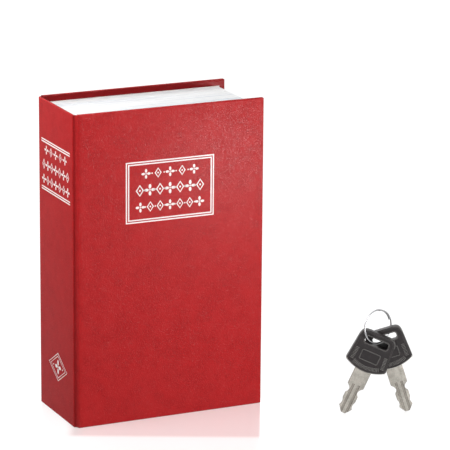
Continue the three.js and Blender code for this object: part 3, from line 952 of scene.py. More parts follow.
@dataclass
class Covers:
    """The red covering of the boards and the spine, the joints between them, and the linings."""

    finishes: Finishes
    start: float = 3.2 * MM
    end: float = COVER_END
    outer: float = COVER_FACE
    inner: float = 24.8 * MM
    height: float = BOOK_HEIGHT
    edge_radius: float = 0.6 * MM
    turn_in: float = 12 * MM
    cloth: float = 0.3 * MM
    joint_top: float = 1.35 * MM
    valley: float = -0.66 * MM
    valley_depth: float = 2.35 * MM
    floor_width: float = 0.27 * MM
    joint_steps: int = 9
    joint_drop: float = 0.05 * MM
    hinge_x: float = 2.3 * MM
    bend_start: float = 1.0 * MM
    liner: float = 1.7 * MM
    liner_edge: float = 0.25 * MM
    liner_bend: float = 1.9 * MM
    board_edge: float = 0.35 * MM
    spine_outer: float = SPINE_FACE
    spine_inner: float = -0.05 * MM
    spine_side: Pair = (25.05 * MM, 24.95 * MM)
    spine_radius: float = 0.65 * MM
    spine_corner: float = 20.0
    stiffener_gap: float = 0.02 * MM

    def board_sheet(self) -> BMesh:
        """The sheet over one board at low Y, open at the joint, with a window behind it.

        Returns:
            The mesh, without thickness.
        """
        bm = block((self.start, self.end), (-self.outer, -self.inner), (0, self.height))
        left = [f for f in bm.faces if f.calc_center_median().x < self.start + SMALL]
        bmesh.ops.delete(bm, geom=left, context="FACES_ONLY")
        soften(bm, [e for e in bm.edges if not e.is_boundary], self.edge_radius, 4)
        lining = max(bm.faces, key=lambda f: f.normal.y * f.calc_area())
        cut_window(bm, lining, self.turn_in - self.edge_radius)
        return bm

    def joint_places(self) -> list[Pair]:
        """Where the joint's cloth lies, from the board's face down to the crease.

        Returns:
            The X and Y of each place.
        """
        places = [(self.joint_top, -self.outer)]
        floor_end = self.valley + self.floor_width
        for i in range(1, self.joint_steps + 1):
            share = i / self.joint_steps
            x = self.joint_top + (floor_end - self.joint_top) * share
            y = -self.outer + self.valley_depth * (1 - math.cos(share * math.pi)) / 2
            places.append((x, y))
        places.append((self.valley, -self.outer + self.valley_depth))
        return places

    def add_joint(self, bm: BMesh) -> None:
        """Carries the board's sheet on through the joint, down to the crease by the spine.

        Args:
            bm: the board's sheet.
        """
        lip = -self.outer + self.edge_radius + SMALL
        rim = [
            e
            for e in bm.edges
            if e.is_boundary and all(v.co.x < self.start + SMALL and v.co.y < lip for v in e.verts)
        ]
        at = Vector((self.start, -self.outer))
        for step, (x, y) in enumerate(self.joint_places()):
            made = bmesh.ops.extrude_edge_only(bm, edges=rim)
            verts = made_verts(made)
            shift(bm, verts, (x - at.x, y - at.y, 0))
            if step == 1:
                middle = Matrix.Translation((0, 0, -self.height / 2))
                shrink = 1 - 2 * self.joint_drop / self.height
                bmesh.ops.scale(bm, verts=verts, vec=(1, 1, shrink), space=middle)
            rim = made_rim(made, verts)
            at = Vector((x, y))

    def bend(self, obj: bpy.types.Object, start: float) -> None:
        """Bends a piece between the case and the front cover, from one X up to the hinge.

        Args:
            obj: the piece.
            start: the X from which it bends.
        """
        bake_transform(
            obj,
            Body.CASE.value,
            Body.FRONT_COVER.value,
            start=(start, -self.outer, self.height / 2),
            end=(self.hinge_x, -self.outer, self.height / 2),
        )

    def front_covering(self) -> None:
        """The front covering, one sheet from the crease to the fore-edge."""
        bm = self.board_sheet()
        self.add_joint(bm)
        thicken(bm, self.cloth)
        nodes = ("front_cover_covering", "front_joint_strip")
        obj = piece(bm, "front_covering", self.finishes.leatherette, stands_for=nodes)
        self.bend(obj, self.bend_start)

    def joint_liner(self) -> BMesh:
        """The turned-in cloth and mull behind the joint, at low Y, cut across where it bends.

        Returns:
            A closed mesh.
        """
        y = -self.inner
        foot = self.joint_drop
        bm = block((self.joint_top, self.start), (y - self.liner, y), (foot, self.height - foot))
        bmesh.ops.bisect_plane(
            bm,
            geom=bm.verts[:] + bm.edges[:] + bm.faces[:],
            plane_co=((self.joint_top + self.hinge_x) / 2, 0, 0),
            plane_no=(1, 0, 0),
        )
        soften(bm, corners(bm), self.liner_edge, 2)
        return bm

    def front_joint_liner(self) -> None:
        """The lining of the front joint, which bends with the covering."""
        obj = piece(self.joint_liner(), "front_joint_liner", self.finishes.leatherette)
        self.bend(obj, self.liner_bend)

    def spine_solid(self, inset: float = 0.0) -> BMesh:
        """The spine's whole body, from foot to head.

        Args:
            inset: how far inside the covering it lies.

        Returns:
            A closed mesh.
        """
        near, far = self.spine_outer + inset, self.spine_inner - inset
        outside, inside = (side - inset for side in self.spine_side)
        places = [(near, -outside), (far, -inside), (far, inside), (near, outside)]
        bm = bmesh.new()
        bm.faces.new([bm.verts.new((x, y, inset)) for x, y in places])
        raise_faces(bm, self.height - 2 * inset)
        bmesh.ops.recalc_face_normals(bm, faces=bm.faces)
        return bm

    def spine_sheet(self) -> BMesh:
        """The cloth round the spine, open behind it.

        Returns:
            The sheet with its thickness.
        """
        bm = self.spine_solid()
        rounded = corners(bm, self.spine_corner)
        face = self.spine_outer + SMALL
        outer = [e for e in rounded if all(v.co.x < face for v in e.verts)]
        soften(bm, outer, self.spine_radius, 5)
        soften(bm, corners(bm, SQUARE_CORNER), self.cloth, 2)
        inside = max(bm.faces, key=lambda f: f.normal.x * f.calc_area())
        cut_window(bm, inside, self.turn_in - self.edge_radius)
        thicken(bm, self.cloth)
        return bm

    def spine_and_back_covering(self) -> None:
        """The covering of the back board, its joint and the spine."""
        bm = self.board_sheet()
        self.add_joint(bm)
        swap_sides(bm)
        thicken(bm, self.cloth)
        back_liner = self.joint_liner()
        swap_sides(back_liner)
        bmesh.ops.recalc_face_normals(back_liner, faces=back_liner.faces)
        join_into(bm, back_liner)
        join_into(bm, self.spine_sheet())
        piece(
            bm,
            "spine_and_back_covering_cloth",
            self.finishes.leatherette,
            Body.CASE,
            ("spine_and_back_covering",),
            outward=False,
        )

    def boards(self) -> None:
        """The grey boards under the covering, and the spine's thinner card."""
        spine = self.spine_solid(self.cloth + self.stiffener_gap)
        board = self.finishes.board
        piece(spine, "spine_stiffener", board, Body.CASE, ("spine_board",))
        refine("front_cover_board", board, Body.FRONT_COVER, self.board_edge)
        refine("back_cover_board", board, Body.CASE, self.board_edge)

    def build(self) -> None:
        """Builds every piece of the covers."""
        self.front_covering()
        self.front_joint_liner()
        self.spine_and_back_covering()
        self.boards()
        dress("front_endpaper", self.finishes.endpaper)
        dress("back_endpaper", self.finishes.endpaper)


@dataclass
class PageBlock:
    """The moulding that imitates the edges of the leaves, on three sides of the cash box."""

    finishes: Finishes
    start: float = 1.4 * MM
    end: float = 109.65 * MM
    front: float = -24.2 * MM
    back: float = 24.5 * MM
    foot: float = 4 * MM
    head: float = 176 * MM
    wall: float = 3 * MM
    leaf: float = 0.62 * MM
    relief: float = 0.16 * MM
    crest_drop: Pair = (0.0, 0.45)
    crest_width: Pair = (0.3, 0.5)
    groove_drop: Pair = (0.55, 1.0)
    groove_width: Pair = (0.35, 0.75)
    waver: float = 0.35
    waver_scale: Pair = (900, 9)
    waver_slice: float = 0.3
    steps: int = 26
    shade_angle: float = 50.0
    seed: int = 11

    def section(self) -> list[Pair]:
        """The wall's section: how far each point lies across the block and below its face.

        Returns:
            Its points, in order round the wall.
        """
        draw = random.Random(self.seed)
        points = [(self.front, self.relief)]
        y = self.front + self.leaf / 2
        while y < self.back - self.leaf:
            points.append((y, self.relief * draw.uniform(*self.crest_drop)))
            y += self.leaf * draw.uniform(*self.crest_width)
            points.append((y, self.relief * draw.uniform(*self.groove_drop)))
            y += self.leaf * draw.uniform(*self.groove_width)
        points += [(self.back, self.relief), (self.back, self.wall), (self.front, self.wall)]
        return points

    def place(self, y: float, depth: float, along: float) -> Vector:
        """A point of the moulding.

        Args:
            y: how far across the block it lies.
            depth: how far below the block's face.
            along: how far round the block, from 0 at the spine's foot to 3 at its head.

        Returns:
            The point.
        """
        side = min(int(along), 2)
        share = along - side
        across, round_it = self.waver_scale
        sample = Vector((y * across, along * round_it, self.waver_slice))
        waver = noise.noise(sample) * self.relief * self.waver
        sunk = depth if depth >= self.wall else max(0.0, depth + waver)
        low, high, far = self.foot + sunk, self.head - sunk, self.end - sunk
        if side == 0:
            return Vector((self.start + (far - self.start) * share, y, low))
        if side == 1:
            return Vector((far, y, low + (high - low) * share))
        return Vector((far + (self.start - far) * share, y, high))

    def build(self) -> None:
        """Builds the moulding by carrying its section round the block."""
        section = self.section()
        bm = bmesh.new()
        ring = [bm.verts.new(self.place(y, depth, 0.0)) for y, depth in section]
        edges = first = [bm.edges.new((ring[i - 1], ring[i])) for i in range(len(ring))]
        order = {vert: i for i, vert in enumerate(ring)}
        for step in range(1, 3 * self.steps + 1):
            made = bmesh.ops.extrude_edge_only(bm, edges=edges)
            new = set(made_verts(made))
            order = {
                edge.other_vert(old): i
                for old, i in order.items()
                for edge in old.link_edges
                if edge.other_vert(old) in new
            }
            for vert, i in order.items():
                vert.co = self.place(*section[i], step / self.steps)
            edges = made_rim(made, order)
        for cap in (first, edges):
            bmesh.ops.edgeloop_fill(bm, edges=cap)
        piece(
            bm,
            "page_edge_moulding",
            self.finishes.page_edge,
            Body.CASE,
            ("page_edges",),
            smooth=self.shade_angle,
        )


class Ornament:
    """Flat foil ornaments, drawn in a plane and then given their thickness."""

    PETAL_PLACE = 0.58
    PETAL_LENGTH = 0.38
    PETAL_WIDTH = 0.24
    FLOWER_EYE = 0.13
    SUNK_SHARE = 1 / 3

    def __init__(self) -> None:
        """Starts an empty drawing."""
        self.bm = bmesh.new()

    def bar(self, u: Pair, v: Pair) -> None:
        """A filled bar from its lowest to its highest place on both axes.

        Args:
            u: its lowest and highest place across.
            v: its lowest and highest place up.
        """
        made = bmesh.ops.create_grid(self.bm, x_segments=1, y_segments=1, size=0.5)["verts"]
        bmesh.ops.scale(self.bm, verts=made, vec=(u[1] - u[0], v[1] - v[0], 1))
        shift(self.bm, made, ((u[0] + u[1]) / 2, (v[0] + v[1]) / 2, 0))

    def frame(self, u: Pair, v: Pair, width: float) -> None:
        """A frame of four bars with closed corners.

        Args:
            u: its lowest and highest place across.
            v: its lowest and highest place up.
            width: the bars' width.
        """
        self.bar(u, (v[0], v[0] + width))
        self.bar(u, (v[1] - width, v[1]))
        self.bar((u[0], u[0] + width), (v[0] + width, v[1] - width))
        self.bar((u[1] - width, u[1]), (v[0] + width, v[1] - width))

    def disc(self, middle: Pair, half: Pair, sides: int, stroke: float = 0.0) -> None:
        """A disc, lozenge or other even shape, whole or as an outline.

        Args:
            middle: where it lies.
            half: its half width and half height.
            sides: 4 for a lozenge, more for a round shape.
            stroke: the outline's width, or 0 for a whole shape.
        """
        made = bmesh.ops.create_circle(self.bm, cap_ends=True, segments=sides, radius=1.0)
        bmesh.ops.scale(self.bm, verts=made["verts"], vec=(*half, 1))
        shift(self.bm, made["verts"], (*middle, 0))
        if stroke > 0:
            cut_window(self.bm, made["verts"][0].link_faces[0], stroke)

    def dot(self, middle: Pair, radius: float, sides: int) -> None:
        """A small whole disc."""
        self.disc(middle, (radius, radius), sides)

    def flower(self, middle: Pair, reach: float) -> None:
        """Four petals that reach so far, around a small disc.

        Args:
            middle: where it lies.
            reach: how far the petals reach.
        """
        long, wide = self.PETAL_LENGTH * reach, self.PETAL_WIDTH * reach
        for i in range(4):
            angle = i * QUARTER_TURN
            u = middle[0] + self.PETAL_PLACE * reach * math.cos(angle)
            v = middle[1] + self.PETAL_PLACE * reach * math.sin(angle)
            self.disc((u, v), (long, wide) if i % 2 == 0 else (wide, long), 16)
        self.dot(middle, self.FLOWER_EYE * reach, 12)

    def stamp(
        self, name: str, finish: Finish, body: Body, plane: Matrix, thickness: float
    ) -> None:
        """Makes the drawing a piece on its plane, sunk a little way into the covering.

        Args:
            name: the piece's name.
            finish: the foil.
            body: the body that it rides on.
            plane: where the drawing's axes lie, with Z out of the covering.
            thickness: how thick the foil is.
        """
        for face in self.bm.faces:
            if face.normal.z < 0:
                face.normal_flip()
        raise_faces(self.bm, thickness)
        shift(self.bm, self.bm.verts, (0, 0, -thickness * self.SUNK_SHARE))
        move(self.bm, plane)
        piece(self.bm, name, finish, body)


@dataclass(frozen=True)
class Row:
    """A row of foil ornaments: every so many from its middle is a flower, others lozenges."""

    height: float
    width: float
    count: int
    size: float
    flowers: int
    lozenge_width: float = 0.72
    lozenge_line: float = 0.24
    eye: float = 0.17
    bead: float = 0.15
    sides: int = 10

    def draw(self, art: Ornament, middle: float) -> None:
        """Draws the row, with a bead between each two ornaments.

        Args:
            art: the drawing.
            middle: the row's middle across.
        """
        step = (self.width - 2 * self.size) / (self.count - 1)
        first = middle - (self.width - 2 * self.size) / 2
        for i in range(self.count):
            u = first + i * step
            from_middle = abs(2 * i - (self.count - 1)) // 2
            if from_middle % self.flowers == 0:
                art.flower((u, self.height), self.size)
            else:
                half = (self.size * self.lozenge_width, self.size)
                art.disc((u, self.height), half, 4, stroke=self.size * self.lozenge_line)
                art.dot((u, self.height), self.size * self.eye, self.sides)
            if i < self.count - 1:
                art.dot((u + step / 2, self.height), self.size * self.bead, self.sides)


@dataclass
class FoilStamping:
    """The foil frame and ornaments on the front cover and the spine."""

    finishes: Finishes
    thickness: float = 0.05 * MM
    line: float = 0.72 * MM
    line_gap: float = 0.62 * MM
    frame_u: Pair = (29.4 * MM, 83.0 * MM)
    frame_v: Pair = (115.4 * MM, 150.5 * MM)
    front_rows: tuple[Row, ...] = (
        Row(height=143.2 * MM, width=35 * MM, count=5, size=2.9 * MM, flowers=2),
        Row(height=133.8 * MM, width=43.5 * MM, count=7, size=3.4 * MM, flowers=2),
        Row(height=124.2 * MM, width=42 * MM, count=7, size=3.0 * MM, flowers=3),
    )
    rule_reach: float = 21.0 * MM
    rule_middle: float = 0.3 * MM
    rule_heights: Pair = (156.5 * MM, 129.0 * MM)
    spine_rows: tuple[Row, ...] = (
        Row(height=151.6 * MM, width=33 * MM, count=5, size=2.7 * MM, flowers=2),
        Row(height=142.9 * MM, width=41 * MM, count=7, size=3.0 * MM, flowers=2),
        Row(height=134.4 * MM, width=41 * MM, count=7, size=2.8 * MM, flowers=3),
    )
    emblem: Pair = (1.9 * MM, 28.8 * MM)
    emblem_half: Pair = (13.6 * MM, 8.4 * MM)
    emblem_inner: float = 0.8
    emblem_lines: Pair = (0.55 * MM, 0.45 * MM)
    emblem_flower: float = 4.4 * MM
    emblem_dot: float = 0.5 * MM
    emblem_dot_place: float = 6.6 * MM

    def front(self) -> None:
        """The double frame on the front cover, with three rows of ornaments."""
        art = Ornament()
        inset = self.line + self.line_gap
        art.frame(self.frame_u, self.frame_v, self.line)
        inner_u = (self.frame_u[0] + inset, self.frame_u[1] - inset)
        inner_v = (self.frame_v[0] + inset, self.frame_v[1] - inset)
        art.frame(inner_u, inner_v, self.line)
        for row in self.front_rows:
            row.draw(art, sum(self.frame_u) / 2)
        turn = Matrix.Rotation(QUARTER_TURN, 4, "X")
        plane = Matrix.Translation((0, -COVER_FACE, 0)) @ turn
        art.stamp("front_foil", self.finishes.foil, Body.FRONT_COVER, plane, self.thickness)

    def spine(self) -> None:
        """The double rules on the spine, three rows of ornaments, and one at the foot."""
        art = Ornament()
        u = (self.rule_middle - self.rule_reach, self.rule_middle + self.rule_reach)
        half_gap = self.line_gap / 2
        for height in self.rule_heights:
            art.bar(u, (height + half_gap, height + half_gap + self.line))
            art.bar(u, (height - half_gap - self.line, height - half_gap))
        for row in self.spine_rows:
            row.draw(art, self.rule_middle)
        half_u, half_v = self.emblem_half
        for share, line in zip((1, self.emblem_inner), self.emblem_lines):
            art.disc(self.emblem, (half_u * share, half_v * share), 4, stroke=line)
        art.flower(self.emblem, self.emblem_flower)
        for side in (-self.emblem_dot_place, self.emblem_dot_place):
            art.dot((self.emblem[0] + side, self.emblem[1]), self.emblem_dot, 12)
        turn = Matrix.Rotation(-QUARTER_TURN, 4, "Z") @ Matrix.Rotation(QUARTER_TURN, 4, "X")
        plane = Matrix.Translation((SPINE_FACE, 0, 0)) @ turn
        art.stamp("spine_foil", self.finishes.foil, Body.CASE, plane, self.thickness)

    def build(self) -> None:
        """Builds the foil on both faces."""
        self.front()
        self.spine()


@dataclass
class CashBox:
    """The steel tray and its lid, with the hinge, the strike and their rivets."""

    finishes: Finishes
    sheet_edge: float = 0.3 * MM
    plate_edge: float = 0.12 * MM
    head_radius: float = 2.5 * MM
    head_height: float = 0.8 * MM
    shank_radius: float = 1.25 * MM
    spread_radius: float = 1.9 * MM
    tail: float = 0.4 * MM
    tail_taper: float = 0.9
    dome_steps: int = 6
    rivet_steps: int = 32

    def sheets_and_fittings(self) -> None:
        """The enamelled tray and lid, the hinge's leaves and pin, and the strike."""
        enamel, zinc = self.finishes.enamel, self.finishes.zinc
        refine("box_tray", enamel, Body.CASE, self.sheet_edge, 3)
        refine("lid_panel", enamel, Body.LID, self.sheet_edge, 3)
        refine("hinge_leaf_lid", zinc, Body.LID, self.plate_edge)
        for node in ("hinge_leaf_box", "hinge_pin", "strike_bracket"):
            refine(node, zinc, Body.CASE, self.plate_edge)

    def rivet_profile(self, length: float, tail_radius: float) -> list[Pair]:
        """Half of a rivet's section, from the top of its domed head down to its tail's middle.

        Args:
            length: the rivet's whole length.
            tail_radius: how wide its tail is spread.

        Returns:
            How far each point lies from the axis and above the tail's end.
        """
        profile = [(0.0, length)]
        for i in range(1, self.dome_steps + 1):
            angle = i / self.dome_steps * QUARTER_TURN
            drop = self.head_height * (1 - math.cos(angle))
            profile.append((self.head_radius * math.sin(angle), length - drop))
        return profile + [
            (self.shank_radius, length - self.head_height),
            (self.shank_radius, self.tail),
            (tail_radius, self.tail),
            (tail_radius * self.tail_taper, 0.0),
            (0.0, 0.0),
        ]

    def rivet(self, node: str, body: Body, towards: Vector) -> None:
        """A rivet with a domed head, in its CAD node's place.

        Args:
            node: the rivet's CAD node.
            body: the body that it rides on.
            towards: the way that its head points.
        """
        low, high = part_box(node)
        axis = max(range(3), key=lambda i: abs(towards[i]))
        tail_radius = self.spread_radius if body is Body.LID else self.shank_radius
        bm = bmesh.new()
        profile = self.rivet_profile(high[axis] - low[axis], tail_radius)
        verts = [bm.verts.new((r, 0, z)) for r, z in profile]
        edges = [bm.edges.new(pair) for pair in zip(verts, verts[1:])]
        bmesh.ops.spin(
            bm,
            geom=verts + edges,
            cent=(0, 0, 0),
            axis=(0, 0, 1),
            angle=FULL_TURN,
            steps=self.rivet_steps,
            use_merge=True,
        )
        bmesh.ops.remove_doubles(bm, verts=bm.verts, dist=MERGE_GAP)
        turn = Vector((0, 0, 1)).rotation_difference(towards).to_matrix().to_4x4()
        start = (low + high) / 2
        start[axis] = low[axis] if towards[axis] > 0 else high[axis]
        move(bm, Matrix.Translation(start) @ turn)
        piece(bm, f"{node}_dome", self.finishes.zinc, body, (node,))

    def build(self) -> None:
        """Builds the cash box."""
        self.sheets_and_fittings()
        for i in (1, 2, 3):
            self.rivet(f"lid_rivet_{i}", Body.LID, Vector((0, -1, 0)))
            self.rivet(f"box_rivet_{i}", Body.CASE, Vector((1, 0, 0)))
        for i in (1, 2):
            self.rivet(f"strike_rivet_{i}", Body.CASE, Vector((-1, 0, 0)))


@dataclass(frozen=True)
class Coil:
    """A coil of round wire around Z, centred on the origin."""

    radius: float
    wire: float
    pitch: float
    turns: float
    steps: int
    sides: int

    def mesh(self) -> BMesh:
        """Winds the coil.

        Returns:
            A closed mesh.
        """
        bm = bmesh.new()
        made = bmesh.ops.create_circle(
            bm, cap_ends=False, segments=self.sides, radius=self.wire / 2
        )["verts"]
        bmesh.ops.rotate(bm, verts=made, matrix=Matrix.Rotation(QUARTER_TURN, 3, "X"))
        shift(bm, made, (self.radius, 0, -self.pitch * self.turns / 2))
        count = round(self.turns * self.steps)
        bmesh.ops.spin(
            bm,
            geom=bm.verts[:] + bm.edges[:],
            cent=(0, 0, 0),
            axis=(0, 0, 1),
            dvec=(0, 0, self.pitch * self.turns / count),
            angle=FULL_TURN * self.turns,
            steps=count,
            use_merge=False,
        )
        ends = [e for e in bm.edges if e.is_boundary]
        bmesh.ops.holes_fill(bm, edges=ends, sides=self.sides)
        return bm


@dataclass
class CamLock:
    """The cam lock in the lid, with its plug, wafers, springs and cam."""

    finishes: Finishes
    flange_edge: float = 0.35 * MM
    small_edge: float = 0.12 * MM
    wafers: int = 4
    spring: Coil = Coil(0.42 * MM, wire=0.2 * MM, pitch=0.68 * MM, turns=4, steps=20, sides=8)

    def housing(self) -> None:
        """The flanged barrel and its nut, which the lid carries."""
        refine("lock_barrel", self.finishes.nickel, Body.LID, self.flange_edge, 3)
        refine("lock_nut", self.finishes.brass, Body.LID, self.flange_edge)

    def core(self) -> None:
        """The plug, rounded on its face alone, and the cam that it turns."""
        nickel, zinc, steel = self.finishes.nickel, self.finishes.zinc, self.finishes.spring_steel
        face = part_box("lock_plug")[0].y + SMALL
        refine("lock_plug", nickel, Body.LOCK_CORE, self.small_edge, behind=face)
        refine("lock_cam", zinc, Body.LOCK_CORE, self.flange_edge)
        refine("cam_washer", steel, Body.LOCK_CORE, self.small_edge)
        refine("cam_screw", zinc, Body.LOCK_CORE, self.small_edge)

    def tumbler(self, number: int) -> None:
        """One brass wafer, and the wound spring beside it, which lengthens with it.

        Args:
            number: the wafer's number, from 1.
        """
        dress(f"lock_wafer_{number}", self.finishes.brass)
        node = f"wafer_spring_{number}"
        low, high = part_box(node)
        middle = (low + high) / 2
        bm = self.spring.mesh()
        move(bm, Matrix.Translation(middle) @ Matrix.Rotation(QUARTER_TURN, 4, "Y"))
        wire = piece(bm, f"{node}_wire", self.finishes.spring_steel, stands_for=(node,))
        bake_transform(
            wire,
            Body.LOCK_CORE.value,
            f"wafer_{number}",
            start=(high.x - self.spring.wire, middle.y, middle.z),
            end=(low.x + self.spring.wire, middle.y, middle.z),
        )

    def build(self) -> None:
        """Builds the lock."""
        self.housing()
        self.core()
        for number in range(1, self.wafers + 1):
            self.tumbler(number)


def curve_points(start: Pair, pull: Pair, end: Pair, count: int) -> list[Pair]:
    """Points of a quadratic curve, without its start.

    Args:
        start: where it starts.
        pull: the point that draws it.
        end: where it ends.
        count: how many points it has.

    Returns:
        The points.
    """
    points = []
    for i in range(1, count + 1):
        t = i / count
        near, mid, far = (1 - t) ** 2, 2 * t * (1 - t), t * t
        x, y = (near * a + mid * b + far * c for a, b, c in zip(start, pull, end))
        points.append((x, y))
    return points


def round_rectangle(middle: Pair, size: Pair, radius: float, count: int = 5) -> list[Pair]:
    """The outline of a rectangle with round corners, anticlockwise.

    Args:
        middle: where it lies.
        size: its length across and its width up.
        radius: its corners' radius.
        count: how many steps make a corner.

    Returns:
        The points.
    """
    points = []
    for i, (sx, sy) in enumerate(((1, 1), (-1, 1), (-1, -1), (1, -1))):
        cx = middle[0] + sx * (size[0] / 2 - radius)
        cy = middle[1] + sy * (size[1] / 2 - radius)
        for k in range(count + 1):
            angle = (i + k / count) * QUARTER_TURN
            points.append((cx + radius * math.cos(angle), cy + radius * math.sin(angle)))
    return points


def grown(size: Pair, by: float) -> Pair:
    """A rectangle's size with a margin added on every side."""
    return (size[0] + 2 * by, size[1] + 2 * by)


def plate_with_holes(outline: Sequence[Pair], holes: Sequence[Sequence[Pair]], z: Pair) -> BMesh:
    """A flat plate with openings through it.

    Args:
        outline: its outer outline.
        holes: the outlines of its openings.
        z: its lowest and highest Z.

    Returns:
        A closed mesh.
    """
    bm = bmesh.new()
    for loop in (outline, *holes):
        verts = [bm.verts.new((x, y, z[0])) for x, y in loop]
        for i in range(len(verts)):
            bm.edges.new((verts[i - 1], verts[i]))
    bmesh.ops.triangle_fill(bm, edges=bm.edges[:], use_beauty=True, use_dissolve=False)
    raise_faces(bm, z[1] - z[0])
    bmesh.ops.recalc_face_normals(bm, faces=bm.faces)
    return bm


@dataclass(frozen=True)
class KeyStand:
    """How one key of the pair stands: its slot's place, its lean and its side of the other."""

    body: Body
    slot: float
    splay: float
    side: int


@dataclass(frozen=True)
class KeyWearAndPaintedLight:
    """How strongly each part of a key is marked, from 0 to 1: rubbed and painted highlight on the head,
    painted shade on the blade.
    """

    # On the head, the marks turn edges and raised lines pale: rubbed, and a painted highlight.
    border: float = 0.10
    slot_rim: float = 0.36
    label: float = 0.34
    rib: float = 0.40
    foot: float = 1.0
    edge: float = 0.12
    # On the blade, the marks darken the cut edges and grooves: painted shade.
    blade_edge: float = 0.85
    groove_floor: float = 0.30
    groove_wall: float = 1.0


@dataclass
class KeySet:
    """The two keys on their split ring, standing on their tips as they are photographed."""

    finishes: Finishes
    place: Pair = (166.2 * MM, -68.5 * MM)
    turn: float = math.radians(-25)
    stands: tuple[KeyStand, ...] = (
        KeyStand(Body.KEY_1, 0.0, math.radians(23.6), -1),
        KeyStand(Body.KEY_2, 4.8 * MM, math.radians(-18), 1),
    )
    spacing: float = 0.4 * MM
    thickness: float = 4 * MM
    top_width: float = 21.6 * MM
    foot_width: float = 24.4 * MM
    head_top: float = 5.4 * MM
    shoulder: float = 15 * MM
    shoulder_inset: float = 0.7
    head_foot: float = 18.6 * MM
    foot_steps: int = 28
    corner: float = 4.2 * MM
    corner_inset: float = 0.5
    corner_steps: int = 10
    slot: Pair = (14 * MM, 4.2 * MM)
    slot_corner: float = 1.3 * MM
    edge: float = 0.45 * MM
    foot_edge: float = 0.95 * MM
    long_edge: float = 3.5 * MM
    face: float = 1.84 * MM
    wear_and_painted_light: KeyWearAndPaintedLight = KeyWearAndPaintedLight()
    border: Pair = (0.55 * MM, 1.25 * MM)
    rim: float = 0.55 * MM
    crest: float = 0.12 * MM
    label: Pair = (10.6 * MM, 5.4 * MM)
    label_corner: float = 0.5 * MM
    label_drop: float = 9 * MM
    label_line: float = 0.42 * MM
    rib_pitch: float = 0.86 * MM
    rib_width: float = 0.36 * MM
    foot_ribs: int = 21
    foot_rib_reach: Pair = (1.7 * MM, 3.9 * MM)
    side_ribs: int = 9
    side_rib_start: float = 2.4
    side_rib_reach: Pair = (1.7 * MM, 3.6 * MM)
    blade_half: float = 1 * MM
    blade_edge: float = 0.18 * MM
    groove_side: float = 2.2 * MM
    groove_depth: float = 0.45 * MM
    groove_flat: float = 0.7
    key_reach: float = 45.6 * MM
    tip_width: float = 2.7 * MM
    ring_coil: Coil = Coil(
        9.5 * MM, wire=0.8 * MM, pitch=1.25 * MM, turns=1.2, steps=90, sides=16
    )
    ring_start: float = math.radians(15)
    ring_turn: float = math.radians(38.2)
    ring_lean: float = math.radians(3.4)
    ring_shift: Pair = (0.7 * MM, 0.16 * MM)
    ring_rise: float = 8.64 * MM

    def set_matrix(self) -> Matrix:
        """Where the key set stands."""
        return Matrix.Translation((*self.place, 0)) @ Matrix.Rotation(self.turn, 4, "Z")

    def slot_height(self, splay: float) -> float:
        """The height of a key's slot when its tip stands on the floor."""
        return self.key_reach * math.cos(splay) + self.tip_width / 2 * abs(math.sin(splay))

    def key_matrix(self, stand: KeyStand) -> Matrix:
        """Where one key stands, with its slot at the local origin and its tip towards -Y.

        Args:
            stand: how the key stands.

        Returns:
            The matrix from the key's own axes.
        """
        depth = stand.side * (self.thickness + self.spacing) / 2
        at = Matrix.Translation((stand.slot, depth, self.slot_height(stand.splay)))
        turned = Matrix.Rotation(stand.splay, 4, "Y") @ Matrix.Rotation(QUARTER_TURN, 4, "X")
        return self.set_matrix() @ at @ turned

    def head_outline(self, inset: float = 0.0) -> list[Pair]:
        """The head's outline: narrow at the top, wide and round at the foot.

        Args:
            inset: how far inside the head's edge it lies.

        Returns:
            Its points.
        """
        top, foot = self.top_width / 2 - inset, self.foot_width / 2 - inset
        head_top, head_foot = self.head_top - inset, self.head_foot - inset
        corner = self.corner - inset * self.corner_inset
        shoulder = self.shoulder - inset * self.shoulder_inset
        corner_foot = head_top - corner
        slope = (foot - top) / (shoulder + corner_foot)
        pull = top - slope * corner
        steps = self.corner_steps
        points = [(-foot, -shoulder)]
        lowest = (0, -2 * head_foot + shoulder)
        points += curve_points(points[-1], lowest, (foot, -shoulder), self.foot_steps)
        points.append((top, corner_foot))
        points += curve_points(points[-1], (pull, head_top), (top - corner, head_top), steps)
        points.append((corner - top, head_top))
        points += curve_points(points[-1], (-pull, head_top), (-top, corner_foot), steps)
        return points[:-1]

    def line_height(self, side: int) -> Pair:
        """The lowest and highest Z of a raised line on the face at high or low Z."""
        high, low = self.thickness / 2, self.face - self.crest
        return (low, high) if side > 0 else (-high, -low)

    def raised(self, bm: BMesh, edges: Iterable[BMEdge], segments: int, worn: float) -> BMesh:
        """Rounds the crest of a raised line.

        Args:
            bm: the line's mesh.
            edges: the edges among which those of its crest are.
            segments: how many faces make the rounding.
            worn: how strongly it is marked.

        Returns:
            The same mesh.
        """
        top = self.thickness / 2 - SMALL
        crest = [e for e in edges if all(abs(v.co.z) > top for v in e.verts)]
        soften(bm, crest, self.crest, segments, worn)
        return bm

    def head_lines(self, side: int) -> list[BMesh]:
        """The border, the slot's rim and the label frame on one face of the head.

        Args:
            side: 1 for the face at high Z, and -1 for the other.

        Returns:
            A closed mesh for each.
        """
        near, far = self.border
        line, corner, rim = self.label_line, self.label_corner, self.rim
        middle = (0, -self.label_drop)
        loops = (
            (self.head_outline(near), self.head_outline(far), self.wear_and_painted_light.border),
            (
                round_rectangle((0, 0), grown(self.slot, rim), self.slot_corner + rim),
                round_rectangle((0, 0), self.slot, self.slot_corner),
                self.wear_and_painted_light.slot_rim,
            ),
            (
                round_rectangle(middle, grown(self.label, line), corner + line),
                round_rectangle(middle, self.label, corner),
                self.wear_and_painted_light.label,
            ),
        )
        made = []
        # Each raised line's crest is marked pale: rubbed, and a painted highlight.
        for outer, inner, worn in loops:
            bm = plate_with_holes(outer, [inner], self.line_height(side))
            made.append(self.raised(bm, corners(bm, SQUARE_CORNER), 2, worn))
        return made

